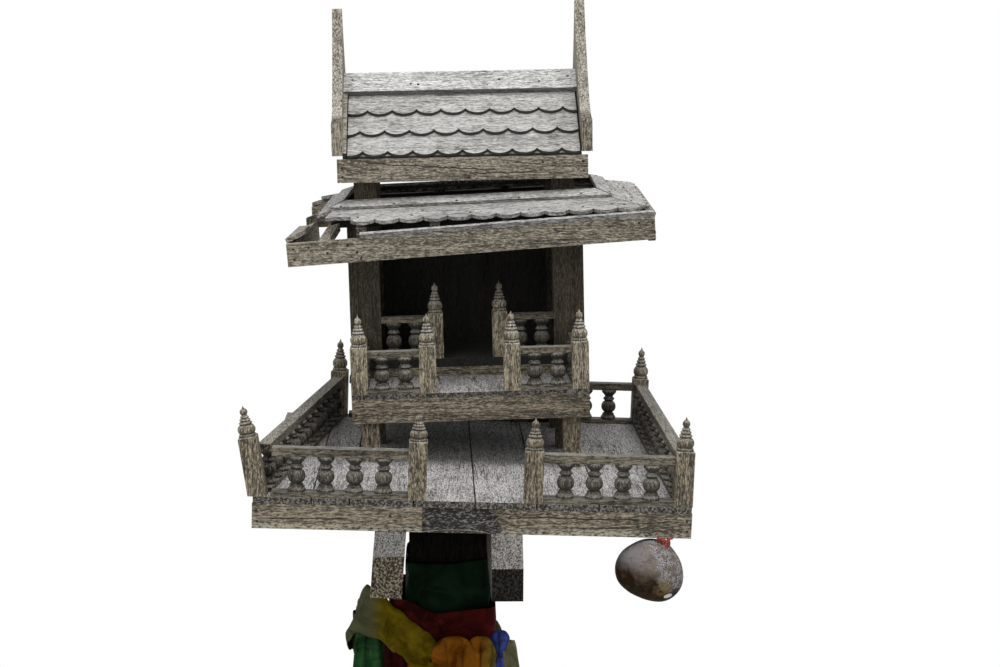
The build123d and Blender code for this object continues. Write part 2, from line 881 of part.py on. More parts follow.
def gable_section(outer_lift, inner_lift, foot):
    """Bent section over both slopes between two lifts over the decking's top, from the ridge down to foot."""
    pitch = radians(roof_pitch)

    def ridge(lift):
        return (0, fascia_height + roof_rise + lift / cos(pitch))

    def edge(lift, side):
        along = foot
        y = -roof_run + along * cos(pitch) - lift * sin(pitch)
        z = fascia_height + along * sin(pitch) + lift * cos(pitch)
        return (-side * y, z)

    return [
        edge(outer_lift, -1),
        ridge(outer_lift),
        edge(outer_lift, 1),
        edge(inner_lift, 1),
        ridge(inner_lift),
        edge(inner_lift, -1),
    ]


def along_roof(points, half_length):
    """Section drawn across the roof and run along it, from one gable to the other."""
    with BuildPart() as piece:
        with BuildSketch(cross_section(roof, -half_length)):
            Polygon(*points, align=None)
        extrude(amount=2 * half_length)
    return piece


with BuildPart() as roof_decking:
    add(along_roof(gable_section(0, -decking_thickness, 0), roof_half_length).part)
    with BuildSketch(roof):
        Rectangle(2 * roof_half_length, seat_gap)
    extrude(amount=roof_rise * 2, mode=Mode.SUBTRACT)
roof_fascias = slabs(
    roof,
    0,
    fascia_height,
    [
        (-roof_fascia_length / 2, roof_fascia_length / 2, front, front + fascia_thickness)
        for front in (-roof_run - fascia_thickness, roof_run)
    ],
)
ridge_lift = shingle_thickness + 2 * seat_gap
ridge_foot = roof_slope_length - ridge_board_width
with BuildPart() as ridge_cap:
    add(
        along_roof(
            gable_section(ridge_lift + ridge_board_thickness, ridge_lift, ridge_foot), roof_half_length
        ).part
    )
    with BuildSketch(roof):
        Rectangle(2 * roof_half_length, seat_gap)
    extrude(amount=roof_rise * 2, mode=Mode.SUBTRACT)

shingle_tilt = degrees(atan2(eave_lift, shingle_length))
roof_starter_width = 6.0
roof_starter_thickness = eave_lift * (1 - (eave_overhang + roof_starter_width) / shingle_length)
batten_length = ridge_foot - seat_gap
with BuildPart() as roof_starter_strips:
    for slope, left, right in zip(
        roof_slopes, (left_shingle_end, -right_shingle_end), (right_shingle_end, -left_shingle_end)
    ):
        with BuildSketch(slope):
            with Locations(((left + right) / 2, roof_starter_width / 2)):
                Rectangle(right - left, roof_starter_width)
        extrude(amount=roof_starter_thickness)
    for slope, side in zip(roof_slopes, (-1, 1)):
        with BuildSketch(slope):
            with Locations((side * (roof_half_length - verge_batten_width / 2), batten_length / 2)):
                Rectangle(verge_batten_width, batten_length)
        extrude(amount=verge_batten_height)


def roof_courses(slope, left, right):
    """Three courses of scalloped boards on one slope."""
    courses = []
    for number, first_cusp in enumerate(first_cusps):
        low = number * shingle_exposure - eave_overhang
        plane = Plane(slope.location * Pos(0, low, eave_lift) * Rot(-shingle_tilt, 0, 0))
        courses.append(scalloped_board(plane, left, right, first_cusp, shingle_length))
    return courses


roof_front_shingles = roof_courses(roof_slopes[0], left_shingle_end, right_shingle_end)
roof_back_shingles = roof_courses(roof_slopes[1], -right_shingle_end, -left_shingle_end)


def gable_board(low, high, tip):
    """Pair of bargeboards meeting under a tall tip, with stepped tails over the eaves."""
    tail_y = roof_run + tail_reach
    shoulder_y = roof_run - shoulder_back
    pitch_slope = roof_rise / roof_run
    inner_apex = fascia_height + roof_rise - gable_board_depth
    inner_foot = (inner_apex - tail_bottom) / pitch_slope
    with BuildPart() as piece:
        with BuildSketch(cross_section(roof, low)):
            with BuildLine():
                Polyline(
                    (0, inner_apex),
                    (-inner_foot, tail_bottom),
                    (-tail_y, tail_bottom),
                    (-tail_y, tail_top),
                )
                ThreePointArc(
                    (-tail_y, tail_top),
                    (-(tail_y * 0.42 + shoulder_y * 0.58), (tail_top * 0.72 + shoulder_height * 0.28)),
                    (-shoulder_y, shoulder_height),
                )
                ThreePointArc(
                    (-shoulder_y, shoulder_height),
                    (-shoulder_y * 0.44, (shoulder_height * 0.54 + tip * 0.46)),
                    (0, tip),
                )
                Line((0, tip), (0, inner_apex))
            make_face()
            mirror(about=Plane.YZ)
        extrude(amount=high - low)
        with BuildSketch(roof):
            Rectangle(4 * roof_half_length, seat_gap)
        extrude(amount=tip * 2, mode=Mode.SUBTRACT)
    return piece


gable_outer = roof_half_length + gable_board_thickness
left_gable_board = gable_board(-gable_outer, -roof_half_length, left_gable_tip)
right_gable_board = gable_board(roof_half_length, gable_outer, right_gable_tip)

# Gable panels nailed to the outer faces of the corner posts
panel_foot = 2.0
panel_low = wall_inner + seat_gap
with BuildPart() as gable_panels:
    for side in (-1, 1):
        inner = panel_low if side > 0 else -panel_low - gable_panel_thickness
        with BuildSketch(cross_section(porch, inner, house_middle, roof_bottom - porch_height)):
            Polygon(
                (-roof_run, panel_foot + 8),
                (roof_run, panel_foot + 8),
                (roof_run, panel_foot + fascia_height),
                (0, fascia_height + roof_rise * 1.2),
                (-roof_run, panel_foot + fascia_height),
                align=None,
            )
        extrude(amount=gable_panel_thickness)
    for slope in roof_slopes:
        split(bisect_by=slope.offset(-decking_thickness), keep=Keep.BOTTOM)
    with BuildSketch(roof):
        Rectangle(roof_fascia_length, 2 * roof_run)
    extrude(amount=roof_rise * 2, both=True, mode=Mode.INTERSECT)

# Gourd hanging askew on a knotted cord under the front board
gourd_place = deck_shift + half_width - gourd_inset
gourd_row = -half_depth + rim_thickness / 2
gourd_middle = rim_underside(gourd_place) - gourd_middle_drop
gourd_plane = Plane(
    Plane(origin=(gourd_place, gourd_row, gourd_middle), x_dir=(1, 0, 0), z_dir=(0, -1, 0)).location
    * Rot(0, 0, gourd_lean)
)
with BuildPart() as gourd:
    with BuildSketch(gourd_plane):
        with BuildLine():
            Spline(
                (0, gourd_length * 0.47),
                (gourd_radius, gourd_length * 0.04),
                (0, -gourd_length * 0.53),
                tangents=((1, 0), (-1, 0)),
            )
            Line((0, -gourd_length * 0.53), (0, gourd_length * 0.47))
        make_face()
    revolve(axis=Axis(gourd_plane.origin, gourd_plane.y_dir))
knot_place = gourd_place + gourd_knot_place
with BuildPart() as gourd_cord:
    with BuildSketch(Plane(origin=(knot_place, gourd_row, rim_underside(knot_place) - seat_gap))):
        Circle(gourd_knot_radius)
    extrude(amount=-gourd_radius / 2)
    add(gourd.part, mode=Mode.SUBTRACT)

# Cloth bands tied round the post, one over another
cloths = {}
reach = post_width / 2
left_reach = reach
for name, (top_drop, hem_drop, bulge) in cloth_bands.items():
    inner = reach + seat_gap
    left_inner = left_reach + seat_gap
    reach = inner + cloth_thickness
    left_reach = left_inner + cloth_thickness + bulge
    with BuildPart() as band:
        with BuildSketch(ground.offset(deck_height - hem_drop)):
            with Locations(((reach - left_reach) / 2, 0)):
                RectangleRounded(reach + left_reach, 2 * reach, 2 * cloth_thickness)
            with Locations(((inner - left_inner) / 2, 0)):
                Rectangle(inner + left_inner, 2 * inner, mode=Mode.SUBTRACT)
        extrude(amount=hem_drop - top_drop)
    cloths[name] = band

pieces = {
    "post": post,
    "left_beam": left_beam,
    "right_beam": right_beam,
    "front_board": front_board,
    "back_board": back_board,
    "side_boards": side_boards,
    "joists": joists,
    "deck_planks": deck_planks,
    "terrace_posts": terrace_posts,
    "leaning_corner_post": leaning_corner_post,
    "front_left_balustrade": front_left_balustrade,
    "front_right_balustrade": front_right_balustrade,
    "left_balustrade": left_balustrade,
    "right_balustrade": right_balustrade,
    "back_balustrade": back_balustrade,
    "porch_floor": porch_floor,
    "porch_boards": porch_boards,
    "porch_legs": porch_legs,
    "porch_posts": porch_posts,
    "porch_balustrades": porch_balustrades,
    "corner_posts": corner_posts,
    "left_wall": left_wall,
    "right_wall": right_wall,
    "back_wall": back_wall,
    "house_floor": house_floor,
    "sill_board": sill_board,
    "sill_posts": sill_posts,
    "sill_balustrades": sill_balustrades,
    "skirt_front_fascia": skirt_front_fascia,
    "skirt_back_fascia": skirt_back_fascia,
    "skirt_side_fascias": skirt_side_fascias,
    "skirt_ring": skirt_ring,
    "skirt_rafters": rafters,
    "front_starter_strip": front_starter,
    "starter_strips": starter_strips,
    "skirt_front_shingles": skirt_front_shingles,
    "skirt_right_shingles": skirt_right_shingles,
    "skirt_back_shingles": skirt_back_shingles,
    "skirt_left_shingles": skirt_left_shingles,
    "skirt_top_boards": skirt_top_boards,
    "roof_decking": roof_decking,
    "roof_fascias": roof_fascias,
    "roof_starter_strips": roof_starter_strips,
    "ridge_cap": ridge_cap,
    "left_gable_board": left_gable_board,
    "right_gable_board": right_gable_board,
    "gable_panels": gable_panels,
    "gourd": gourd,
    "gourd_cord": gourd_cord,
}
for side, courses in (("front", roof_front_shingles), ("back", roof_back_shingles)):
    with BuildPart() as joined:
        for course in courses:
            add(course.part)
    pieces[f"roof_{side}_shingles"] = joined
pieces.update(cloths)

for name, piece in pieces.items():
    piece.part.label = name
    export_step(piece.part, f"parts/{name}.step")
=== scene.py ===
"""Looks of a small weathered spirit house on a planted post. Metres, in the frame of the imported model."""

from functools import cache
from math import atan2, cos, exp, pi, radians, sin, tan

import bpy
import bmesh
from mathutils import Matrix, Vector, noise
from mathutils.bvhtree import BVHTree


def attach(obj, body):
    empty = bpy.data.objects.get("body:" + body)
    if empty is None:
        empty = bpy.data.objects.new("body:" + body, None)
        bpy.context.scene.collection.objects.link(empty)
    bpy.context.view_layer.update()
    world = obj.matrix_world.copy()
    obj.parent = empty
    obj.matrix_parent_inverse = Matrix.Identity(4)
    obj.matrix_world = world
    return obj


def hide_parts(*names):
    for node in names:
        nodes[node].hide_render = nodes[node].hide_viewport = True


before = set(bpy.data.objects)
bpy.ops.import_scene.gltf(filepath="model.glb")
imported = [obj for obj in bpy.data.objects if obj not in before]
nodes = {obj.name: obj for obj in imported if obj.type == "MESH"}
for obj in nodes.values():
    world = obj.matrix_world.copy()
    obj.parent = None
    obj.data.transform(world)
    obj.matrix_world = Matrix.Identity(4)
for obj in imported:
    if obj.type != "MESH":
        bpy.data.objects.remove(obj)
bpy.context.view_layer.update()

# ---------------------------------------------------------------- camera, fitted to the object in the photo
picture_width = 1000
focal_length = 1800
eye = Vector((-0.0114, -2.0021, 1.6064))
pitch = radians(8.97)
yaw = radians(2.01)
roll = radians(0.28)
ahead = Vector((sin(yaw) * cos(pitch), cos(yaw) * cos(pitch), -sin(pitch)))
level = Vector((cos(yaw), -sin(yaw), 0))
above = level.cross(ahead)
right = level * cos(roll) + above * sin(roll)
above = above * cos(roll) - level * sin(roll)
camera = bpy.data.objects.new("camera", bpy.data.cameras.new("camera"))
bpy.context.scene.collection.objects.link(camera)
camera.matrix_world = Matrix.Translation(eye) @ Matrix((right, above, -ahead)).transposed().to_4x4()
camera.data.sensor_width = 36
camera.data.lens = focal_length / picture_width * camera.data.sensor_width
camera.data.clip_end = 60
bpy.context.scene.camera = camera


# ---------------------------------------------------------------- shader maths
class Signal:
    """A shader output that takes arithmetic."""

    def __init__(self, finish, socket):
        self.finish = finish
        self.socket = socket

    def maths(self, operation, *values, clamp=False):
        settings = {"operation": operation, "use_clamp": clamp}
        return self.finish.add("ShaderNodeMath", settings, dict(enumerate(values)))

    def __add__(self, other):
        return self.maths("ADD", self, other)

    def __sub__(self, other):
        return self.maths("SUBTRACT", self, other)

    def __rsub__(self, other):
        return self.maths("SUBTRACT", other, self)

    def __mul__(self, other):
        return self.maths("MULTIPLY", self, other)

    __radd__ = __add__
    __rmul__ = __mul__

    def __abs__(self):
        return self.maths("ABSOLUTE", self)

    def between(self, low, high):
        """0 below low, 1 above high, and a soft step from one to the other."""
        return self.finish.add(
            "ShaderNodeMapRange",
            {"interpolation_type": "SMOOTHSTEP"},
            {"Value": self, "From Min": low, "From Max": high},
        )

    def falling(self, low, high):
        """1 below low, 0 above high."""
        return 1 - self.between(low, high)

    def larger(self, other):
        return self.maths("MAXIMUM", self, other)


class Finish:
    """The node tree of a material, or of the world."""

    def __init__(self, name, library=None):
        if library is None:
            library = bpy.data.materials
        self.owner = library.new(name)
        self.owner.use_nodes = True
        self.tree = self.owner.node_tree
        self.tree.nodes.clear()

    def add(self, kind, settings=None, inputs=None, output=0):
        """A node of any type: its settings first, then its sockets' values or links."""
        node = self.tree.nodes.new(kind)
        for name, value in (settings or {}).items():
            setattr(node, name, value)
        for name, value in (inputs or {}).items():
            socket = node.inputs[name]
            if isinstance(value, Signal):
                self.tree.links.new(value.socket, socket)
            elif socket.type == "RGBA":
                socket.default_value = (*value, 1)
            else:
                socket.default_value = value
        return Signal(self, node.outputs[output]) if node.outputs else None

    def mix(self, factor, first, second, blend="MIX"):
        """Two colours mixed by a factor."""
        settings = {"data_type": "RGBA", "blend_type": blend}
        return self.add("ShaderNodeMix", settings, {0: factor, 6: first, 7: second}, output=2)

    def either(self, factor, first, second):
        """Two vectors mixed by a factor."""
        inputs = {0: factor, 4: first, 5: second}
        return self.add("ShaderNodeMix", {"data_type": "VECTOR"}, inputs, output=1)

    def part(self, vector, axis):
        """One number of a vector."""
        return self.add("ShaderNodeSeparateXYZ", None, {0: vector}, output="XYZ".index(axis))

    def distance(self, place, point=(0, 0, 0)):
        """How far a place is from a point."""
        inputs = {0: place, 1: point}
        return self.add("ShaderNodeVectorMath", {"operation": "DISTANCE"}, inputs, output=1)

    def place(self):
        return self.add("ShaderNodeTexCoord", output="Object")

    def stretched(self, place, scale=(1, 1, 1), turn=(0, 0, 0), shift=(0, 0, 0)):
        """A place scaled, turned and shifted."""
        inputs = {"Vector": place, "Location": shift, "Rotation": turn, "Scale": scale}
        return self.add("ShaderNodeMapping", None, inputs)

    def grain(self, place, scale, detail=4.0, roughness=0.55, distortion=0.0):
        """Cloudy noise round 0.5."""
        inputs = {
            "Vector": place, "Scale": scale, "Detail": detail, "Roughness": roughness, "Distortion": distortion
        }
        return self.add("ShaderNodeTexNoise", None, inputs, output="Fac")

    def cells(self, place, scale):
        """Distance to the nearest edge between irregular cells."""
        inputs = {"Vector": place, "Scale": scale}
        return self.add("ShaderNodeTexVoronoi", {"feature": "DISTANCE_TO_EDGE"}, inputs, output="Distance")

    def close(self, colour, roughness, height, depth=0.001, sheen=0.0, metallic=0.0, gloss=0.5):
        """Surface of the material, from its colour, roughness and bump height."""
        inputs = {"Height": height, "Distance": depth, "Strength": 1.0}
        normal = self.add("ShaderNodeBump", None, inputs)
        inputs = {
            "Base Color": colour,
            "Roughness": roughness,
            "Normal": normal,
            "Metallic": metallic,
            "Sheen Weight": sheen,
            "Specular IOR Level": gloss,
        }
        surface = self.add("ShaderNodeBsdfPrincipled", None, inputs)
        self.add("ShaderNodeOutputMaterial", None, {"Surface": surface})
        return self.owner


def shade(colour, amount):
    """A darker or lighter kin of a colour."""
    return tuple(c * amount for c in colour)


def tinted(tones, amount):
    """Darker or lighter kin of several colours."""
    return tuple(shade(tone, amount) for tone in tones)


# ---------------------------------------------------------------- old wood
# Light, dark and bleached colour of each kind.
roof_tones = ((0.44, 0.425, 0.395), (0.12, 0.112, 0.10), (0.50, 0.49, 0.465))
ridge_tones = ((0.56, 0.55, 0.52), (0.17, 0.162, 0.15), (0.66, 0.65, 0.63))
trim_tones = ((0.36, 0.317, 0.243), (0.09, 0.074, 0.051), (0.45, 0.43, 0.39))
board_tones = ((0.31, 0.262, 0.185), (0.064, 0.051, 0.034), (0.37, 0.35, 0.31))
post_tones = ((0.31, 0.258, 0.175), (0.062, 0.049, 0.032), (0.40, 0.375, 0.33))
porch_tones = ((0.42, 0.36, 0.255), (0.10, 0.081, 0.053), (0.44, 0.42, 0.385))
turned_tones = ((0.150, 0.133, 0.102), (0.028, 0.023, 0.017), (0.33, 0.32, 0.28))
deck_tones = ((0.40, 0.375, 0.36), (0.11, 0.099, 0.09), (0.51, 0.495, 0.485))
wall_tones = ((0.09, 0.073, 0.045), (0.024, 0.018, 0.011), (0.14, 0.13, 0.11))
# painted shade: near-black wood for the back wall, house floor, joists, roof decking and skirt ring, which lie in
# shade
painted_shade_tones = ((0.022, 0.019, 0.016), (0.008, 0.007, 0.006), (0.045, 0.042, 0.038))
# painted shade: the post's wood is darkened to stand for the shade under the terrace
post_shade = ((0.008, 0.0065, 0.0055), (0.003, 0.0025, 0.002), (0.02, 0.019, 0.018))
nose_tones = ((0.16, 0.145, 0.125), (0.034, 0.029, 0.024), (0.27, 0.26, 0.25))
# near black of open joints, also used for painted shade in the rotten recess of the front board
joint_and_shade_black = (0.006, 0.005, 0.004)
rot_fleck = (0.24, 0.23, 0.22)
rot_streak = (0.07, 0.066, 0.06)
rubbed_wood = (0.50, 0.47, 0.36)

turned_to = {"x": (0, 0, 0), "y": (0, 0, pi / 2), "z": (0, pi / 2, 0)}
deck_height = 1.150
deck_lean = radians(1.7)
deck_slope = tan(deck_lean)
middle = 0.025


def old_wood(
    name, run, light, dark, bleached, seed=0.0, end=None, bleach=1.0, wear=1.0, gloss=0.5,
    rails=None, ring=None, edge_shade=0.0, worn_edge=None, joint=None, cracks=(), rot_and_shade=None,
):
    """Old teak: long fibres, pits and checks, grey bleaching on faces to the sky, damp and painted shade under
    them.

    The fibres follow the axis run. end is the colour of cut ends, bleach the strength of the grey on top, wear
    that of the small marks. rails = (deck height, deck slope, top of the sole, bottom of the rail, their run,
    half width inside the returns) turns the grain along the rails and soles of a fence whose balusters stand
    upright. ring = (front, back) runs the grain across before and behind those depths, as on boards laid in a
    ring. edge_shade paints shade on the cut lower sides of shingles. worn_edge = (height, slope) rubs an upright
    face pale just above it. joint = (low, high, slope) leaves a dark open joint on the upright faces below and
    above those heights. cracks are runs (x, z, x, z) seen from in front. rot_and_shade = (left, right, front) is
    a stretch of the front face painted black and crumbly: rotten wood and painted shade of the recess there.
    """
    finish = Finish(name)
    place = finish.place()
    facing = finish.add("ShaderNodeNewGeometry", output="Normal")
    x, y, z = (finish.part(place, axis) for axis in "XYZ")
    up = finish.part(facing, "Z")
    start = (seed, seed * 0.7, seed * 1.3)

    def laid(axis):
        """Place and facing turned so that the fibres, which follow an axis, run along X."""
        turn = turned_to[axis]
        return finish.stretched(place, turn=turn, shift=start), finish.stretched(facing, turn=turn)

    def either_way(factor, first, second):
        return tuple(finish.either(factor, one, other) for one, other in zip(first, second))

    def above(height, slope):
        """How far a place is above a level that falls to the right by a slope."""
        return z + (x - middle) * slope - height

    way = laid(run)
    if rails:
        level_height, slope, sole, rail, rail_run, inside = rails
        rise = above(level_height, slope)
        in_rail = rise.falling(sole, sole + 0.0004).larger(rise.between(rail - 0.0004, rail))
        rail_way = laid(rail_run)
        if inside:
            returned = abs(x - middle).between(inside, inside + 0.001)
            rail_way = either_way(returned, rail_way, laid("y"))
        way = either_way(in_rail, way, rail_way)
    if ring:
        front, back = ring
        crosswise = y.falling(front, front + 0.0005).larger(y.between(back - 0.0005, back))
        way = either_way(crosswise, way, laid("x"))
    long_place, long_facing = way

    def fibrous(scale, detail, roughness=0.55, distortion=0.0, shift=(0, 0, 0)):
        """Noise drawn out along the fibres."""
        return finish.grain(finish.stretched(long_place, scale, shift=shift), 1.0, detail, roughness, distortion)

    bands = fibrous((4, 55, 55), 4.0, 0.6, 0.5)
    streaks = fibrous((9, 260, 260), 4.0, 0.65, 0.3)
    fibres = fibrous((26, 950, 950), 3.0, 0.7)
    stains = fibrous((16, 42, 42), 5.0, 0.7, 0.8, shift=(2, 5, 1))
    checks = fibrous((5, 95, 95), 3.0, 0.55, 0.6, shift=(3, 1, 2))
    speckle = fibrous((230, 640, 640), 3.0, 0.75, shift=(4, 2, 6))
    dash = fibrous((110, 860, 860), 2.0, 0.6, shift=(7, 3, 1))
    pits = fibrous((110, 700, 700), 2.0).between(0.56, 0.68)
    patches = finish.grain(long_place, 11.0, 5.0, 0.65, 0.6)
    crumb = finish.grain(long_place, 430.0, 3.0, 0.7)
    waver = finish.grain(finish.stretched(place, (40, 40, 40)), 1.0, 3.0, 0.6) - 0.5
    crack = abs(checks - 0.5).falling(0.0, 0.012) * patches.between(0.46, 0.6)
    tone = (bands * 0.3 + streaks * 0.45 + speckle * 0.25).between(0.42, 0.58)

    colour = finish.mix(tone, dark, light)
    if rails:
        rail_light, rail_dark, _ = tinted(board_tones, 0.85)
        colour = finish.mix(in_rail, colour, finish.mix(tone, rail_dark, rail_light))
    for amount, tint in (
        (up.between(0.15, 0.75) * (0.45 + 0.55 * tone) * bleach, bleached),
        (patches.between(0.42, 0.72) * 0.4, shade(dark, 1.1)),
        (fibres.between(0.54, 0.7) * 0.5, shade(light, 1.35)),
        (fibres.falling(0.32, 0.46) * 0.55, shade(dark, 0.55)),
        (speckle.falling(0.37, 0.48) * 0.8 * wear, shade(dark, 0.45)),
        (speckle.between(0.53, 0.63) * 0.55 * wear, shade(light, 1.7)),
        (dash.falling(0.38, 0.47) * 0.7 * wear, shade(dark, 0.4)),
        (dash.between(0.55, 0.65) * 0.45 * wear, shade(light, 1.6)),
        (stains.between(0.55, 0.7) * 0.5 * wear, shade(dark, 0.5)),
        (pits * 0.45, shade(dark, 0.3)),
        (crack * 0.9, shade(dark, 0.1)),
        # damp together with painted shade: faces turned down are painted darker
        (up.falling(-0.6, -0.15) * 0.7, shade(dark, 0.4)),
    ):
        colour = finish.mix(amount, colour, tint)
    # painted shade on faces turned down, such as the cut lower sides of shingles
    if edge_shade:
        colour = finish.mix(up.falling(-0.1, 0.1) * edge_shade, colour, shade(dark, 0.3))
    if worn_edge:
        near = above(*worn_edge).falling(0.002, 0.008)
        rubbed = near * speckle.between(0.42, 0.56) * abs(up).falling(0.3, 0.7)
        colour = finish.mix(rubbed * 0.7, colour, rubbed_wood)
    if joint:
        low, high, slope = joint
        rise = above(0, slope)
        seam = rise.falling(low, low + 0.0005).larger(rise.between(high - 0.0005, high))
        colour = finish.mix(seam * abs(up).falling(0.2, 0.5) * 0.93, colour, joint_and_shade_black)
    for start_x, start_z, end_x, end_z in cracks:
        slant = (end_z - start_z) / (end_x - start_x)
        off_line = z - x * slant - (start_z - slant * start_x) + waver * 0.006
        taper = min(0.008, (end_x - start_x) / 3)
        reach = x.between(start_x, start_x + taper) * x.falling(end_x - taper, end_x)
        split = abs(off_line).falling(0.0002, 0.0007) * reach
        colour = finish.mix(split * 0.95, colour, shade(dark, 0.08))
        crack = crack.larger(split)
    # rotten wood and painted shade: the recessed middle of the front board is painted near black, with pale
    # flecks
    if rot_and_shade:
        left, right, front = rot_and_shade
        wavy = x + waver * 0.045
        eaten_and_shaded = wavy.between(left, left + 0.004) * wavy.falling(right - 0.006, right)
        eaten_and_shaded = eaten_and_shaded * y.falling(front, front + 0.001) * abs(up).falling(0.4, 0.8)
        crumbs_and_shade = finish.mix(speckle.between(0.53, 0.62), joint_and_shade_black, rot_fleck)
        crumbs_and_shade = finish.mix(streaks.between(0.55, 0.7) * 0.5, crumbs_and_shade, rot_streak)
        colour = finish.mix(eaten_and_shaded * 0.92, colour, crumbs_and_shade)

    cut = abs(finish.part(long_facing, "X")).between(0.78, 0.93)
    end = end or shade(dark, 0.8)
    cut_colour = finish.mix(crumb.between(0.44, 0.6), shade(end, 0.22), shade(end, 3.1))
    cut_colour = finish.mix(patches.between(0.5, 0.7) * 0.5, cut_colour, shade(end, 0.4))
    colour = finish.mix(cut, colour, cut_colour)
    along = streaks * 0.45 + fibres * 0.4 + bands * 0.2 - crack * 1.6 - pits * 0.4
    height = (1 - cut) * along + cut * crumb * 1.2 + speckle * 0.4
    return finish.close(colour, 0.8 + 0.15 * tone, height, 0.0009, gloss=gloss)


terrace_rails = (deck_height, deck_slope, 0.0053, 0.0418)
porch_rails = (1.234, -deck_slope, 0.0043, 0.0402)
sill_rails = (1.255, -deck_slope, 0.0043, 0.0422)
fence_ends = dict(seed=3.3, end=post_tones[1])
front_low = min(v.co.z + (v.co.x - middle) * deck_slope for v in nodes["front_board"].data.vertices)
finishes = {
    "roof": old_wood("roof_boards", "x", *roof_tones, seed=0.3, wear=0.75),
    # painted shade on the shingles' cut lower sides
    "rows": old_wood("roof_rows", "x", *roof_tones, seed=0.4, edge_shade=0.93, wear=0.65),
    "top_boards": old_wood(
        "ring_boards", "y", *tinted(roof_tones, 1.2), seed=0.9, wear=0.8, ring=(0.042, 0.2)
    ),
    "strip": old_wood("starter_strips", "x", *roof_tones, seed=1.9),
    "roof_side": old_wood("roof_boards_deep", "y", *tinted(roof_tones, 1.1), seed=0.8, wear=0.8),
    "gable": old_wood("gable_boards", "z", *tinted(trim_tones, 1.12), seed=5.1),
    "trim": old_wood("fascia_boards", "x", *trim_tones, seed=1.1),
    "trim_deep": old_wood("fascia_boards_deep", "y", *trim_tones, seed=1.5),
    "ridge": old_wood("ridge_boards", "x", *ridge_tones, seed=0.5, wear=0.75),
    "upper_trim": old_wood(
        "upper_fascia_boards", "x", *trim_tones, seed=1.3,
        cracks=((-0.097, 1.4795, 0.056, 1.4725), (0.02, 1.4690, 0.10, 1.4702)),
    ),
    "board": old_wood("terrace_boards", "x", *board_tones, seed=2.2),
    "front_board": old_wood(
        "terrace_front_board", "x", *board_tones, seed=2.3,
        # the board's middle is painted near black: rotten wood and painted shade of its recess
        rot_and_shade=(-0.028, 0.058, -0.2), worn_edge=(front_low, deck_slope),
        cracks=(
            (0.07, 1.1335, 0.20, 1.1300), (-0.19, 1.1340, -0.10, 1.1330), (0.12, 1.1225, 0.19, 1.1210)
        ),
    ),
    "board_deep": old_wood("terrace_boards_deep", "y", *board_tones, seed=2.6),
    "deck": old_wood(
        "planks", "y", *deck_tones, seed=2.9, end=(0.07, 0.062, 0.052), joint=(1.1437, 1.1494, deck_slope)
    ),
    "upright": old_wood("turned_posts", "z", *post_tones, seed=3.1),
    "porch_post": old_wood("porch_posts", "z", *porch_tones, seed=3.2),
    "fence_across": old_wood(
        "terrace_fence", "z", *turned_tones, rails=(*terrace_rails, "x", 0), **fence_ends
    ),
    "fence_deep": old_wood(
        "terrace_side_fence", "z", *turned_tones, rails=(*terrace_rails, "y", 0), **fence_ends
    ),
    "fence_porch": old_wood(
        "porch_fence", "z", *turned_tones, rails=(*porch_rails, "x", 0.115), **fence_ends
    ),
    "fence_sill": old_wood("sill_fence", "z", *turned_tones, rails=(*sill_rails, "x", 0), **fence_ends),
    "wall": old_wood("house_walls", "z", *wall_tones, seed=4.2, bleach=0.6),
    # painted shade on the back wall, and on the bars, decking and floor inside
    "inside": old_wood("shaded_wood", "z", *painted_shade_tones, seed=4.7, bleach=0.3),
    "post": old_wood("shaded_post", "z", *post_shade, seed=4.5, bleach=0.3, gloss=0.05),
    "inside_deep": old_wood("shaded_bars", "y", *painted_shade_tones, seed=4.9, bleach=0.3),
    "rafters": old_wood("rafter_wood", "y", *trim_tones, seed=6.2, bleach=0.8),
    "left_nose": old_wood(
        "left_beam_wood", "y", *nose_tones, seed=6.6, end=(0.080, 0.066, 0.047), wear=1.3, gloss=0.2
    ),
    "right_nose": old_wood(
        "right_beam_wood", "y", *tinted(nose_tones, 1.35), seed=7.4, end=(0.011, 0.0095, 0.008),
        wear=1.2, gloss=0.1, cracks=((0.0535, 1.0995, 0.0600, 1.0790),),
    ),
}
worn_by = {
    "roof": "skirt_front_shingles skirt_back_shingles",
    "rows": "roof_front_shingles roof_back_shingles",
    "strip": "front_starter_strip",
    "ridge": "ridge_cap",
    "roof_side": "skirt_left_shingles skirt_right_shingles",
    "top_boards": "skirt_top_boards",
    "gable": "left_gable_board right_gable_board",
    "trim": "starter_strips roof_starter_strips skirt_front_fascia skirt_back_fascia",
    "upper_trim": "roof_fascias",
    "front_board": "front_board",
    "trim_deep": "skirt_side_fascias",
    "board": "back_board porch_boards sill_board gable_panels",
    "board_deep": "side_boards",
    "deck": "deck_planks porch_floor",
    "upright": "terrace_posts leaning_corner_post porch_legs",
    "porch_post": "porch_posts sill_posts",
    "fence_across": "front_left_balustrade front_right_balustrade back_balustrade",
    "fence_deep": "left_balustrade right_balustrade",
    "fence_porch": "porch_balustrades",
    "fence_sill": "sill_balustrades",
    "wall": "left_wall right_wall corner_posts",
    "inside": "back_wall",
    "post": "post",
    "inside_deep": "joists skirt_ring roof_decking house_floor",
    "rafters": "skirt_rafters",
    "left_nose": "left_beam",
    "right_nose": "right_beam",
}
for kind, worn in worn_by.items():
    for name in worn.split():
        nodes[name].data.materials.clear()
        nodes[name].data.materials.append(finishes[kind])


# ---------------------------------------------------------------- making pieces
cloth_thickness = 0.0008


def settled(name, shape, finish):
    """A finished mesh as a piece of the object."""
    mesh = bpy.data.meshes.new(name)
    shape.to_mesh(mesh)
    shape.free()
    piece = bpy.data.objects.new(name, mesh)
    bpy.context.scene.collection.objects.link(piece)
    mesh.materials.append(finish)
    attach(piece, "root")
    return piece


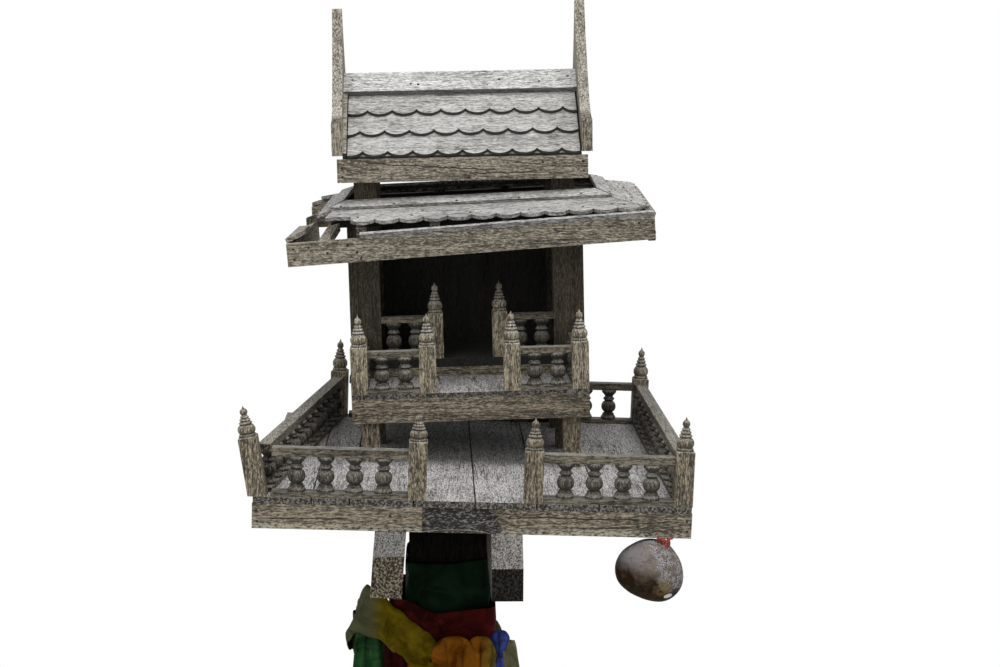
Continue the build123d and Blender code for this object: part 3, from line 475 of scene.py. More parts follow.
def woven(name, across, along, at, finish, closed=False):
    """A sheet of cloth: at(u, v) gives the place of each point of its weave, u across and v along."""
    shape = bmesh.new()
    weave = shape.loops.layers.uv.new("weave")
    columns = across if closed else across + 1
    rows = [[shape.verts.new(at(i / across, j / along)) for i in range(columns)] for j in range(along + 1)]
    for j in range(along):
        for i in range(across):
            corners = ((i, j), (i, j + 1), (i + 1, j + 1), (i + 1, j))
            face = shape.faces.new([rows[b][a % columns] for a, b in corners])
            face.smooth = True
            for loop, (a, b) in zip(face.loops, corners):
                loop[weave].uv = (a / across, b / along)
    piece = settled(name, shape, finish)
    solid = piece.modifiers.new("thickness", "SOLIDIFY")
    solid.thickness = cloth_thickness
    solid.offset = 0
    fine = piece.modifiers.new("smooth", "SUBSURF")
    fine.levels = fine.render_levels = 1
    return piece


# ---------------------------------------------------------------- cloth finishes
def satin(name, colour, deep, pale, seed, colour_shift=None):
    """Thin cloth in its dye colour: a fine weave, painted shade in its folds, with pale water stains.

    colour_shift = (low, high, colour) turns it to another colour from one place across to the next; that colour
    gets painted fold shade too.
    """
    finish = Finish(name)
    place = finish.place()
    weave_place = finish.add("ShaderNodeUVMap", {"uv_map": "weave"})
    folds = finish.grain(finish.stretched(place, shift=(seed, seed, 0)), 34.0, 5.0, 0.6, 0.7)
    blots = finish.grain(finish.stretched(place, shift=(0, seed, seed)), 70.0, 4.0, 0.65)
    threads = finish.grain(finish.stretched(weave_place, (900, 60, 1)), 1.0, 2.0, 0.6)
    picks = finish.grain(finish.stretched(weave_place, (60, 900, 1)), 1.0, 2.0, 0.6)
    # painted shade: the deep colour where the fold noise is low
    dye_and_fold_shade = finish.mix(folds.between(0.36, 0.64), deep, colour)
    dye_and_fold_shade = finish.mix(blots.between(0.58, 0.74) * 0.4, dye_and_fold_shade, pale)
    dye_and_fold_shade = finish.mix((threads + picks).between(0.95, 1.2) * 0.25, dye_and_fold_shade, deep)
    if colour_shift:
        low, high, other = colour_shift
        # painted shade in the folds of the second colour as well
        other = finish.mix(folds.between(0.34, 0.6), shade(other, 0.42), other)
        dye_and_fold_shade = finish.mix(finish.part(place, "X").between(low, high), dye_and_fold_shade, other)
    height = (threads + picks) * 0.25 + folds * 0.5
    return finish.close(dye_and_fold_shade, 0.6 + 0.25 * folds, height, 0.0006, sheen=0.01, gloss=0.02)


# grey-olive: dust on the cloth, and painted light where it is lit from the left and behind
dust_and_light_olive = (0.078, 0.078, 0.038)
green_satin = satin(
    "green_satin", (0.0055, 0.015, 0.0065), (0.0015, 0.005, 0.0018), (0.011, 0.022, 0.012), 1.0
)
leaf_satin = satin("leaf_green_satin", (0.025, 0.090, 0.026), (0.006, 0.022, 0.008), (0.04, 0.11, 0.042), 2.0)
# painted highlight: towards its right end the red turns brighter crimson
red_satin = satin(
    "red_satin", (0.052, 0.0052, 0.0042), (0.014, 0.0016, 0.0012), (0.15, 0.013, 0.012), 3.0,
    colour_shift=(0.036, 0.052, (0.095, 0.008, 0.009)),
)
maroon_satin = satin(
    "maroon_satin", (0.043, 0.0045, 0.005), (0.012, 0.0016, 0.0016), (0.07, 0.013, 0.011), 4.0
)
# towards its left end the yellow turns grey-olive: dust and painted light on that lit side
yellow_satin = satin(
    "yellow_satin", (0.128, 0.090, 0.0024), (0.046, 0.030, 0.0008), (0.17, 0.13, 0.010), 5.0,
    colour_shift=(-0.070, -0.092, dust_and_light_olive),
)
# the tail's grey-olive: dust and painted light from the left and behind
dust_and_light_satin = satin("dusty_lit_olive_satin", (0.076, 0.074, 0.038), (0.025, 0.024, 0.012), (0.13, 0.128, 0.08), 6.0)
orange_satin = satin(
    "orange_satin", (0.20, 0.070, 0.005), (0.058, 0.014, 0.0008), (0.31, 0.14, 0.018), 7.0,
    colour_shift=(0.034, 0.052, (0.17, 0.118, 0.014)),
)
blue_satin = satin("blue_satin", (0.075, 0.105, 0.36), (0.020, 0.028, 0.11), (0.14, 0.18, 0.42), 8.0)
pale_satin = satin("pale_olive_satin", (0.25, 0.235, 0.135), (0.09, 0.08, 0.035), (0.42, 0.40, 0.29), 9.0)


# ---------------------------------------------------------------- cloths on the post
def around(angle, half, squareness=14.0, centre=(0.0, 0.0), stretch=(0.0, 0.0)):
    """Place on a rounded square round the post, seen from above: front is -90 degrees."""
    x, y = cos(angle), sin(angle)
    reach = (abs(x) ** squareness + abs(y) ** squareness) ** (-1 / squareness)
    half_width, half_depth = half + stretch[0], half + stretch[1]
    return Vector((centre[0] + x * reach * half_width, centre[1] + y * reach * half_depth, 0))


def ruck(place, scale, seed):
    """Soft unevenness, from -1 to 1."""
    return noise.noise(Vector(place) * scale + Vector((seed, seed * 2, seed * 3)))


def smooth(value, low, high):
    """0 below low, 1 above high, and a soft step from one to the other."""
    step = min(1.0, max(0.0, (value - low) / (high - low)))
    return step * step * (3 - 2 * step)


def eased(stops, value):
    """Smooth run through (place, height) stops."""
    for (start, low), (end, high) in zip(stops, stops[1:]):
        if value <= end:
            return low + (high - low) * smooth(value, start, end)
    return stops[-1][1]


def wrap(
    name, node, half, top, hem, finish, seed,
    squareness=14.0, centre=(0, 0), stretch=(0, 0), dip=0.0, tuck=0.0,
):
    """Cloth wound flat round the post, with slanting creases.

    Its upper edge is uneven and dips at the front right; its lower part is drawn in by the tuck.
    """

    def at(u, v):
        angle = 2 * pi * u
        plan = around(angle, half, squareness, centre, stretch)
        low = dip * smooth(plan.x, -0.052, -0.008) * smooth(-plan.y, -0.01, 0.04)
        edge = 0.004 * sin(angle + seed) + 0.002 * sin(3 * angle + seed * 2)
        height = (top + edge - low) * (1 - v) + (hem + 0.008 * sin(2 * angle + seed) + 0.004 * sin(5 * angle)) * v
        slant = abs(sin((height * 60 + angle * 1.4 + seed * 2))) * 0.0018
        slant += sin(height * 170 + angle * 3.2 + seed) * 0.0005
        soft = ruck((cos(angle), sin(angle), height * 14), 2.0, seed) * 0.0015
        drawn_in = tuck * smooth(v, 0.28, 0.5)
        return around(angle, half + slant + soft - drawn_in, squareness, centre, stretch) + Vector((0, 0, height))

    piece = woven(name, 110, 50, at, finish, closed=True)
    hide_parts(node)
    return piece


green_wrap = wrap(
    "green_wrap", "green_cloth", half=0.0458, top=1.039, hem=0.884,
    finish=green_satin, seed=1.3,
)
red_wrap = wrap(
    "red_wrap", "red_cloth", half=0.0517, top=1.000, hem=0.838,
    finish=red_satin, seed=2.1,
    squareness=9.0, centre=(-0.006, 0.0), stretch=(0.007, 0.001), dip=0.020, tuck=0.0045,
)


def hanging(name, top, top_width, hem, hem_width, facing, folds, depth, finish, seed):
    """Cloth gathered at its top edge, falling in folds to a loose hem. It faces an angle seen from above."""
    turn = radians(facing)
    out = Vector((cos(turn), sin(turn), 0))
    side = Vector((-sin(turn), cos(turn), 0))
    top, hem = Vector(top), Vector(hem)

    def at(u, v):
        width = top_width * (1 - v) ** 1.6 + hem_width * (1 - (1 - v) ** 1.6)
        lean = top.lerp(hem, v ** 0.6)
        lean.z = top.z + (hem.z - top.z) * v
        fold = sin(2 * pi * folds * u + seed + 0.9 * sin(2.2 * v + seed)) * depth * (0.45 + 0.75 * v)
        fine = sin(2 * pi * folds * 2.7 * u + seed * 2 + 1.5 * v) * depth * 0.25
        soft = ruck((u * 2, v * 3, seed), 2.0, seed) * depth * 0.8
        curl = (2 * u - 1) ** 2 * depth * 0.9
        ragged = 0.010 * v * sin(2 * pi * (u * 1.3 + seed)) + 0.003 * v * sin(2 * pi * folds * u)
        return lean + side * (u - 0.5) * width + out * (fold + fine + soft - curl) + Vector((0, 0, ragged))

    return woven(name, 42, 46, at, finish)


green_tail = hanging(
    "green_tail", top=(-0.088, -0.037, 0.968), top_width=0.031, hem=(-0.083, -0.066, 0.775), hem_width=0.062,
    facing=-97, folds=1.6, depth=0.0062, finish=leaf_satin, seed=0.4,
)
maroon_tail = hanging(
    "maroon_tail", top=(-0.060, -0.0535, 0.955), top_width=0.024, hem=(-0.052, -0.072, 0.800), hem_width=0.044,
    facing=-90, folds=1.3, depth=0.0042, finish=maroon_satin, seed=1.9,
)
# grey-olive tail at the left edge; its colour is dust and painted light
lit_dusty_tail = hanging(
    "lit_dusty_tail", top=(-0.104, 0.002, 0.965), top_width=0.048, hem=(-0.104, 0.006, 0.815), hem_width=0.072,
    facing=183, folds=1.5, depth=0.0055, finish=dust_and_light_satin, seed=2.7,
)
# Height of the sash's middle for each share of the way round, from the knot over the left side.
sash_heights = (
    (0.0, 0.934), (0.03, 0.945), (0.06, 0.960), (0.10, 0.978), (0.14, 0.983), (0.19, 0.966),
    (0.25, 0.947), (0.35, 0.932), (0.5, 0.930), (0.75, 0.926), (0.9, 0.919), (0.955, 0.920), (1.0, 0.934),
)


def sash_at(u, v):
    """The broad sash: down from the left of the bundle to the knot in front, and round the back."""
    angle = -pi / 2 - 2 * pi * u
    on_left = exp(-(((u - 0.2) / 0.1) ** 2))
    width = 0.054 - 0.014 * smooth(u, 0.3, 0.45) * (1 - smooth(u, 0.97, 1.0))
    pleat = sin(v * 2.6 * pi + 1.6 * sin(angle * 2)) * 0.0018 + abs(sin(v * 4.3 * pi + angle)) * 0.0014
    soft = ruck((cos(angle), sin(angle), v), 2.6, 4.0) * 0.0022
    lean = (v - 0.5) * 0.020 * on_left
    roll_in = -0.0045 * (2 * v - 1) ** 6
    half = 0.058 + pleat + soft + lean + roll_in
    plan = around(angle, half, 3.4, centre=(-0.0240, 0.0), stretch=(0.0252, 0.001))
    return plan + Vector((0, 0, eased(sash_heights, u) + (0.5 - v) * width))


yellow_sash = woven("yellow_sash", 160, 24, sash_at, yellow_satin, closed=True)
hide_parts("yellow_cloth")


def skirt_at(u, v):
    """The orange cloth: gathered under the knot, hanging round the post in deep folds."""
    angle = 2 * pi * u
    in_front = exp(-(((angle - 1.5 * pi) / 0.75) ** 2))
    top = 0.925 + 0.010 * in_front + 0.003 * sin(3 * angle)
    hem = 0.706 + 0.014 * sin(2 * angle + 0.6) + 0.006 * sin(5 * angle)
    ease = v ** 0.8
    fold = sin(17 * angle + 1.4 * sin(3 * angle) + 0.8 * sin(4 * v + angle)) * 0.0036 * (0.55 + 0.7 * ease)
    fold += sin(31 * angle + 2 * v) * 0.0011
    soft = ruck((cos(angle) * 1.5, sin(angle) * 1.5, v * 3), 1.8, 6.0) * 0.004
    half = 0.0562 + 0.0032 * ease + fold + soft * 0.5
    bulge = 0.031 * exp(-(((angle - pi + 0.25) / 0.6) ** 2)) * smooth(v, 0.15, 0.85)
    plan = around(angle, half, 5.0, centre=(-0.006 - bulge, 0), stretch=(0.0055, 0.0005))
    return plan + Vector((0, 0, top * (1 - v) + hem * v))


orange_skirt = woven("orange_skirt", 200, 50, skirt_at, orange_satin, closed=True)
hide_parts("orange_cloth")


def puff(name, foot, half, height, depth, lean, finish, seed, pleats=2.5):
    """A loop of a bow: cloth drawn up from the knot, rolled over its top and back down behind."""
    foot = Vector(foot)

    def at(u, v):
        turn = pi * v
        spread = (u - 0.5) * 2
        width = half * (0.34 + 0.66 * sin(turn) ** 0.7)
        crown = height * sin(turn) ** 0.85 * (1 - 0.34 * abs(spread) ** 3.2 - 0.10 * spread * lean)
        groove = (1 - abs(sin(pleats * pi * u + seed))) ** 2 * 0.0062 * (0.3 + 0.7 * sin(turn))
        groove += ruck((u * 2, v * 2, seed), 2.2, seed) * 0.0015
        front = -cos(turn) * depth * (1 - 0.55 * spread ** 2)
        front += groove * (1 if v < 0.5 else -1) * abs(cos(turn)) ** 0.3
        x = foot.x + spread * width + lean * crown * 0.35
        return Vector((x, foot.y + depth * 0.4 + front, foot.z + crown))

    return woven(name, 52, 36, at, finish)


left_puff = puff(
    "left_bow_loop", foot=(0.0085, -0.072, 0.892), half=0.0262, height=0.0665, depth=0.0078, lean=-0.12,
    finish=orange_satin, seed=0.5,
)
right_puff = puff(
    "right_bow_loop", foot=(0.035, -0.069, 0.892), half=0.0185, height=0.0655, depth=0.0075, lean=0.08,
    finish=orange_satin, seed=2.2,
)
bow_knot = puff(
    "bow_knot", foot=(0.021, -0.076, 0.878), half=0.010, height=0.024, depth=0.0065, lean=0.0,
    finish=orange_satin, seed=1.0, pleats=1.5,
)
bow_tail = hanging(
    "bow_tail", top=(0.012, -0.073, 0.888), top_width=0.014, hem=(-0.002, -0.073, 0.778), hem_width=0.040,
    facing=-94, folds=1.4, depth=0.0045, finish=orange_satin, seed=4.4,
)
blue_puff = puff(
    "blue_knot", foot=(0.058, -0.050, 0.931), half=0.0115, height=0.027, depth=0.0085, lean=0.1,
    finish=blue_satin, seed=1.1, pleats=1.5,
)
blue_tail = hanging(
    "blue_tail", top=(0.058, -0.052, 0.936), top_width=0.014, hem=(0.061, -0.056, 0.845), hem_width=0.030,
    facing=-75, folds=1.3, depth=0.0040, finish=blue_satin, seed=3.3,
)
pale_tail = hanging(
    "pale_tail", top=(0.062, -0.048, 0.945), top_width=0.030, hem=(0.070, -0.052, 0.815), hem_width=0.046,
    facing=-68, folds=1.4, depth=0.0055, finish=pale_satin, seed=5.2,
)

# ---------------------------------------------------------------- gourd and its tie
gourd_middle = Vector((0.2072, -0.210, 1.0761))
gourd_half_depth = 0.0325


def gourd_reach(angle):
    """Outline of the gourd seen from in front: reach from its middle, in metres."""
    reach = 33.5 + 0.67 * cos(angle) - 0.35 * sin(angle)
    reach += 1.56 * cos(2 * angle) - 1.54 * sin(2 * angle) - 1.36 * cos(3 * angle) - 0.77 * sin(3 * angle)
    return reach / 1000


gourd_shape = bmesh.new()
bmesh.ops.create_icosphere(gourd_shape, subdivisions=5, radius=1)
for vert in gourd_shape.verts:
    way = vert.co.normalized()
    reach = gourd_reach(atan2(way.z, way.x)) * (1 - way.y ** 2) + gourd_half_depth * way.y ** 2
    reach += 0.0005 * noise.noise(way * 2.3)
    vert.co = gourd_middle + way * reach
for face in gourd_shape.faces:
    face.smooth = True

shell = Finish("gourd_rind")
where = shell.place()
from_middle = shell.stretched(where, shift=tuple(-gourd_middle))
height_on = shell.part(from_middle, "Z")
side_on = shell.part(from_middle, "X")
cloudy = shell.grain(where, 55.0, 5.0, 0.62, 0.6)
mottle = shell.grain(where, 160.0, 5.0, 0.7)
speck = shell.grain(where, 620.0, 3.0, 0.6)
vein = shell.cells(shell.stretched(where, shift=(0.4, 0, 0)), 460.0)
# painted light and shade: the rind is painted lighter towards the top and right, and darker to the lower left
lit = (height_on * 30 + side_on * 15 + cloudy * 1.6 - 0.62).between(-0.3, 0.62)
rind = shell.mix(lit, (0.014, 0.0062, 0.0012), (0.195, 0.155, 0.122))
# paler, bluish grey on the upper left of the rind
pale_upper_left = height_on.between(0.002, 0.022) * side_on.falling(-0.02, 0.012)
rind = shell.mix(pale_upper_left * 0.7, rind, (0.20, 0.188, 0.205))
rind = shell.mix((cloudy * mottle * 4).between(0.9, 1.4) * 0.55, rind, (0.062, 0.036, 0.017))
# painted highlight: pale mottle only where the rind is painted lit
rind = shell.mix(mottle.between(0.52, 0.68) * lit * 0.5, rind, (0.30, 0.275, 0.275))
right_crackle = (side_on + height_on * 0.3).between(0.0, 0.014) * height_on.between(-0.020, -0.008)
crackle = right_crackle * vein.falling(0.0, 0.12)
rind = shell.mix(right_crackle * mottle.between(0.42, 0.55) * 0.85, rind, (0.40, 0.375, 0.385))
rind = shell.mix(crackle * mottle.between(0.34, 0.5) * 0.9, rind, (0.030, 0.020, 0.013))
olive = shell.distance(from_middle, (0.012, -0.029, -0.011))
rind = shell.mix(olive.falling(0.004, 0.014) * mottle.between(0.4, 0.6) * 0.8, rind, (0.19, 0.125, 0.022))
rind = shell.mix(speck.between(0.58, 0.66) * 0.75, rind, (0.030, 0.022, 0.017))
scar_place = shell.stretched(from_middle, (1, 1, 1.5), (0, 0.55, 0))
scar = shell.distance(scar_place, (-0.0018, -0.024, -0.0385))
wound = (scar + (mottle - 0.5) * 0.006).falling(0.0055, 0.0068)
rind = shell.mix(wound, rind, (0.62, 0.60, 0.56))
rind_height = mottle * 0.5 + speck * 0.3 - crackle * 0.8
rind_finish = shell.close(rind, 0.5 + 0.3 * mottle, rind_height, 0.0004, gloss=0.06)
gourd = settled("gourd_shell", gourd_shape, rind_finish)
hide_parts("gourd")

twist = Finish("twisted_red_cord")
strand_place = twist.place()
plies = twist.grain(twist.stretched(strand_place, (700, 700, 240), (0.5, 0.6, 0)), 1.0, 3.0, 0.6)
painted_highlights = twist.grain(strand_place, 190.0, 4.0, 0.6)
tie_colour = twist.mix(plies.between(0.4, 0.6), (0.06, 0.005, 0.003), (0.46, 0.04, 0.014))
# painted highlight: orange-ish bright patches on the red cord
tie_colour = twist.mix(painted_highlights.between(0.52, 0.68) * 0.7, tie_colour, (0.52, 0.14, 0.06))
tie_finish = twist.close(tie_colour, 0.8, plies, 0.0006, sheen=0.4)


def strand(name, points, radius):
    """One strand of the tie, as a tube along a smooth line."""
    line = bpy.data.curves.new(name, "CURVE")
    line.dimensions = "3D"
    run = line.splines.new("NURBS")
    run.points.add(len(points) - 1)
    for point, place in zip(run.points, points):
        point.co = (*place, 1)
    run.order_u = 3
    run.use_endpoint_u = True
    line.bevel_depth = radius
    line.bevel_resolution = 3
    line.resolution_u = 8
    line.use_fill_caps = True
    holder = bpy.data.objects.new(name, line)
    bpy.context.scene.collection.objects.link(holder)
    mesh = bpy.data.meshes.new_from_object(holder)
    bpy.data.objects.remove(holder)
    return mesh


knot = Vector((0.2212, -0.2135, 1.1062))
strand_radius = 0.0015
tie = bmesh.new()
# Points of each strand, in millimetres from the middle of the knot.
strand_runs = (
    ((-5, 3, 6), (-6, -2, 0), (-2, -5, -7), (4, -4, -5), (6, 0, 2), (2, 3, 6)),
    ((5, 4, 6), (5, -3, 2), (1, -6, -3), (-5, -3, -1), (-3, 2, 5), (2, 1, 7)),
    ((-3, 1, -6), (1, -4, -5), (3, -5, 1), (-1, -4, 4), (-4, 0, 2), (-2, 3, -2)),
    ((1, -3, 0), (3, -5, 3), (6, -4, 6), (8, -3, 5)),
    ((0, -4, 1), (-2, -5, 4), (-6, -4, 6), (-7, -3, 4)),
    ((2, 2, 8), (0, 3, 4), (1, 2, -2), (-1, 3, -7)),
)
for run in strand_runs:
    tube = strand("strand", [knot + Vector(p) / 1000 for p in run], strand_radius)
    tie.from_mesh(tube)
    bpy.data.meshes.remove(tube)
for face in tie.faces:
    face.smooth = True
cord_tie = settled("gourd_tie", tie, tie_finish)
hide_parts("gourd_cord")

# ---------------------------------------------------------------- dark fill in the deck's joints: packed soil and painted shade
joint_fill = Finish("packed_dirt_and_shade")
grit = joint_fill.grain(joint_fill.place(), 500.0, 4.0, 0.7)
# near-black colour of the joint fill: packed soil and painted shade in the gaps
dirt_and_shade_colour = joint_fill.mix(grit.between(0.4, 0.65), (0.008, 0.007, 0.005), (0.04, 0.035, 0.026))
dirt_and_shade_finish = joint_fill.close(dirt_and_shade_colour, 0.95, grit, 0.0006)
plank_joints = (-0.165, -0.126, -0.061, 0.002, 0.065, 0.129)
half_length = 0.2135
parts = 24
half_gap = 0.0007
gap_floor = -0.0062
joint_fill_shape = bmesh.new()
for joint in plank_joints:
    rings = []
    for part in range(parts + 1):
        y = -half_length + 2 * half_length * part / parts
        top = -0.0028 - 0.0012 * noise.noise(Vector((joint * 90, y * 60, 0)))
        ring = []
        for side, depth in ((-1, top), (1, top), (1, gap_floor), (-1, gap_floor)):
            across = joint + side * half_gap
            x = middle + across * cos(deck_lean) + depth * sin(deck_lean)
            z = deck_height - across * sin(deck_lean) + depth * cos(deck_lean)
            ring.append(joint_fill_shape.verts.new((x, y, z)))
        rings.append(ring)
    for near, further in zip(rings, rings[1:]):
        for i in range(4):
            joint_fill_shape.faces.new((near[i], near[(i + 1) % 4], further[(i + 1) % 4], further[i]))
    joint_fill_shape.faces.new(rings[0][::-1])
    joint_fill_shape.faces.new(rings[-1])
bmesh.ops.recalc_face_normals(joint_fill_shape, faces=joint_fill_shape.faces)
settled("joint_dirt_and_shade", joint_fill_shape, dirt_and_shade_finish)

# ---------------------------------------------------------------- nails
head_radius = 0.0015
head_height = 0.0007
rust = Finish("rusty_iron")
rust_grain = rust.grain(rust.place(), 900.0, 4.0, 0.7)
rust_colour = rust.mix(rust_grain.between(0.38, 0.62), (0.02, 0.016, 0.013), (0.085, 0.042, 0.022))
rust_finish = rust.close(rust_colour, 0.7 + 0.25 * rust_grain, rust_grain, 0.0003, metallic=0.35)
spots = []


@cache
def surface_of(node):
    """Search tree of a node's faces."""
    mesh = nodes[node].data
    return BVHTree.FromPolygons([v.co for v in mesh.vertices], [p.vertices for p in mesh.polygons])


def drive(node, start, toward):
    """Notes where a nail driven that way meets a node, and the way its head faces. start is in millimetres."""
    place, facing, _, _ = surface_of(node).ray_cast(Vector(start) / 1000, Vector(toward))
    if place is not None:
        spots.append((place, facing))


def nail_tree(finish):
    """Geometry Nodes tree: a domed head stood on every point, as large as its inputs say."""
    tree = bpy.data.node_groups.new("nail_heads", "GeometryNodeTree")
    tree.interface.new_socket("Geometry", in_out="INPUT", socket_type="NodeSocketGeometry")
    tree.interface.new_socket("head_radius", in_out="INPUT", socket_type="NodeSocketFloat")
    tree.interface.new_socket("head_height", in_out="INPUT", socket_type="NodeSocketFloat")
    tree.interface.new_socket("Geometry", in_out="OUTPUT", socket_type="NodeSocketGeometry")

    def node(kind, **settings):
        made = tree.nodes.new(kind)
        for name, value in settings.items():
            setattr(made, name, value)
        return made

    given = node("NodeGroupInput")
    head = node("GeometryNodeMeshUVSphere")
    head.inputs["Segments"].default_value = 10
    head.inputs["Rings"].default_value = 6
    head.inputs["Radius"].default_value = 1.0
    size = node("ShaderNodeCombineXYZ")
    flatten = node("GeometryNodeTransform")
    facing = node("GeometryNodeInputNamedAttribute", data_type="FLOAT_VECTOR")
    facing.inputs["Name"].default_value = "facing"
    align = node("FunctionNodeAlignRotationToVector", axis="Z")
    vary = node("FunctionNodeRandomValue", data_type="FLOAT")
    vary.inputs[2].default_value = 0.85
    vary.inputs[3].default_value = 1.2
    vary.inputs["Seed"].default_value = 4
    stand = node("GeometryNodeInstanceOnPoints")
    real = node("GeometryNodeRealizeInstances")
    paint = node("GeometryNodeSetMaterial")
    paint.inputs["Material"].default_value = finish
    out = node("NodeGroupOutput")
    link = tree.links.new
    link(given.outputs["head_radius"], size.inputs[0])
    link(given.outputs["head_radius"], size.inputs[1])
    link(given.outputs["head_height"], size.inputs[2])
    link(head.outputs["Mesh"], flatten.inputs["Geometry"])
    link(size.outputs[0], flatten.inputs["Scale"])
    link(given.outputs["Geometry"], stand.inputs["Points"])
    link(flatten.outputs["Geometry"], stand.inputs["Instance"])
    link(facing.outputs[0], align.inputs["Vector"])
    link(align.outputs[0], stand.inputs["Rotation"])
    link(vary.outputs[1], stand.inputs["Scale"])
    link(stand.outputs[0], real.inputs[0])
    link(real.outputs[0], paint.inputs["Geometry"])
    link(paint.outputs[0], out.inputs[0])
    return tree


def nail_heads(name, spots, tree):
    """Nail heads on the spots, made plain mesh."""
    mesh = bpy.data.meshes.new(name)
    mesh.from_pydata([tuple(place) for place, _ in spots], [], [])
    facing = mesh.attributes.new("facing", "FLOAT_VECTOR", "POINT")
    facing.data.foreach_set("vector", [n for _, way in spots for n in way])
    piece = bpy.data.objects.new(name, mesh)
    bpy.context.scene.collection.objects.link(piece)
    heads = piece.modifiers.new("heads", "NODES")
    heads.node_group = tree
    for socket in tree.interface.items_tree:
        if socket.name == "head_radius":
            heads[socket.identifier] = head_radius
        if socket.name == "head_height":
            heads[socket.identifier] = head_height
    made = bpy.data.meshes.new_from_object(piece.evaluated_get(bpy.context.evaluated_depsgraph_get()))
    piece.modifiers.clear()
    piece.data = made
    for face in made.polygons:
        face.use_smooth = True
    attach(piece, "root")
    return piece


# Places of the nails in millimetres: (x, z) in front and behind, (y, z) on the sides, (x, y) from above.
front_nails = (
    ("roof_fascias", (
        (-118.5, 1474.2), (-118, 1464.3), (152.3, 1482.9), (153.3, 1472.4), (24.1, 1464.6), (107, 1481.7),
    )),
    ("skirt_front_fascia", (
        (-170.7, 1386.8), (-154, 1388.9), (-110.5, 1391.8), (-169.6, 1375.4), (-100.1, 1384.1),
        (-133.1, 1382.9), (-95.8, 1377.4), (225.4, 1418), (228.3, 1408.2), (210.7, 1418),
    )),
    ("front_board", (
        (244.3, 1128.5), (244.6, 1117.7), (-196, 1142), (-195.5, 1131), (-60, 1136), (62, 1133),
    )),
    ("porch_boards", ((-101, 1208), (151, 1230), (151, 1214))),
)
back_nails = (
    ("back_board", ((-196, 1142), (-195.5, 1131), (244, 1128), (244, 1118), (-55, 1137), (60, 1134))),
    ("skirt_back_fascia", ((-164, 1395), (-163, 1402), (234, 1421), (233, 1412), (35, 1408))),
    ("roof_fascias", ((-118, 1474), (-118, 1464), (152, 1482), (152, 1472), (20, 1468))),
)
side_nails = (
    ("side_boards", 1, ((-198, 1138), (-198, 1125), (196, 1138), (196, 1125), (0, 1135))),
    ("side_boards", -1, ((-198, 1130), (-198, 1118), (196, 1130), (196, 1118), (0, 1124))),
    ("skirt_side_fascias", -1, ((0, 1415), (2, 1406), (240, 1415), (238, 1406))),
    ("skirt_side_fascias", 1, ((235, 1380),)),
    ("left_gable_board", 1, ((60, 1500), (110, 1560))),
    ("right_gable_board", -1, ((60, 1510), (112, 1570), (170, 1510))),
)
top_nails = (
    ("skirt_top_boards", (
        (-120, 26), (-60, 24), (10, 22), (80, 20), (150, 20), (183, 30), (184, 110), (182, 190),
    )),
    ("ridge_cap", (
        (-110, 110), (-42.3, 104), (-33.7, 103), (60, 107), (106.3, 104), (140, 110), (-80, 132), (50, 131),
    )),
    ("skirt_right_shingles", (
        (206, 10), (210, 45), (212, 80), (212, 115), (211, 150), (209, 185), (206, 215),
    )),
    ("skirt_front_shingles", ((-100, -2), (-40, -5), (25, -7), (90, -9), (150, -11), (196, -12))),
    ("skirt_back_shingles", ((-100, 232), (-20, 230), (60, 229), (140, 229))),
    ("deck_planks", (
        (-190, -206), (-150, -206), (-100, -206), (-30, -206), (35, -206), (95, -206), (150, -206), (215, -206),
        (-190, 206), (-150, 206), (-100, 206), (-30, 206), (35, 206), (95, 206), (150, 206), (215, 206),
    )),
)
for toward, boards in ((1, front_nails), (-1, back_nails)):
    for node, places in boards:
        for x, z in places:
            drive(node, (x, -1000 * toward, z), (0, toward, 0))
for node, toward, places in side_nails:
    for y, z in places:
        drive(node, (-1000 * toward, y, z), (toward, 0, 0))
for node, places in top_nails:
    for x, y in places:
        drive(node, (x, y, 2000), (0, 0, -1))
nail_heads("nail_heads", spots, nail_tree(rust_finish))

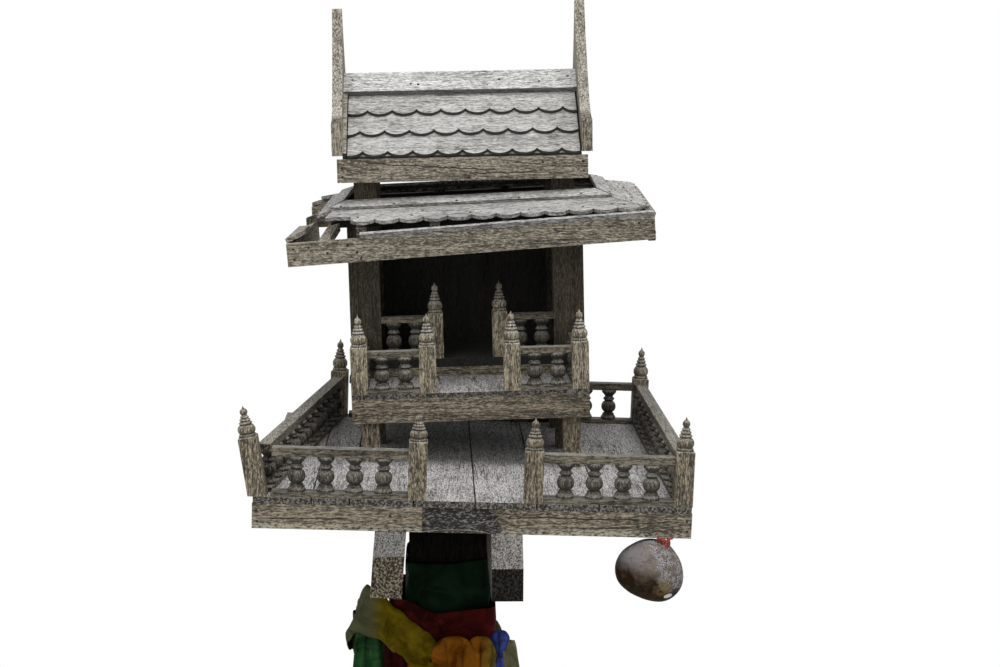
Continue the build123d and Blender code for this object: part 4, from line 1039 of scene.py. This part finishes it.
# ---------------------------------------------------------------- floor and light
floor_half = 14
floor = bpy.data.objects.new("floor", bpy.data.meshes.new("floor"))
bpy.context.scene.collection.objects.link(floor)
shape = bmesh.new()
bmesh.ops.create_grid(shape, x_segments=1, y_segments=1, size=floor_half)
shape.to_mesh(floor.data)
shape.free()
floor_finish = Finish("pale_floor")
off = floor_finish.distance(floor_finish.place())
seen = floor_finish.add("ShaderNodeLightPath", output="Is Camera Ray")
mirrored = floor_finish.add("ShaderNodeLightPath", output="Is Glossy Ray")
far = off.between(0.9, 1.9) * seen.larger(mirrored)
plain = floor_finish.add("ShaderNodeBsdfDiffuse", None, {"Color": (0.8, 0.8, 0.79)})
white = floor_finish.add("ShaderNodeEmission", None, {"Color": (1, 1, 1), "Strength": 1.0})
ground = floor_finish.add("ShaderNodeMixShader", None, {0: far, 1: plain, 2: white})
floor_finish.add("ShaderNodeOutputMaterial", None, {"Surface": ground})
floor.data.materials.append(floor_finish.owner)

sky = Finish("soft_sky", bpy.data.worlds)
rays = [sky.add("ShaderNodeLightPath", output=f"Is {kind} Ray") for kind in ("Camera", "Glossy", "Transmission")]
soft = sky.add("ShaderNodeBackground", None, {"Color": (0.93, 0.96, 1.0), "Strength": 0.62})
backdrop = sky.add("ShaderNodeBackground", None, {"Color": (1, 1, 1), "Strength": 1.0})
shown = rays[0].larger(rays[1]).larger(rays[2])
both = sky.add("ShaderNodeMixShader", None, {0: shown, 1: soft, 2: backdrop})
sky.add("ShaderNodeOutputWorld", None, {"Surface": both})
bpy.context.scene.world = sky.owner


def lamp(name, place, target, size, power):
    """A round lamp in a place, turned to a target."""
    light = bpy.data.lights.new(name, "AREA")
    light.shape = "DISK"
    light.size = size
    light.energy = power
    holder = bpy.data.objects.new(name, light)
    bpy.context.scene.collection.objects.link(holder)
    away = Vector(place) - Vector(target)
    holder.matrix_world = Matrix.Translation(place) @ away.to_track_quat("Z", "Y").to_matrix().to_4x4()


lamp("overhead", place=(0.4, -0.6, 4.2), target=(0, 0, 1.3), size=2.6, power=70)
lamp("front", place=(-1.8, -3.2, 3.0), target=(0, 0, 1.25), size=2.2, power=30)
bpy.context.scene.view_settings.view_transform = "Standard"
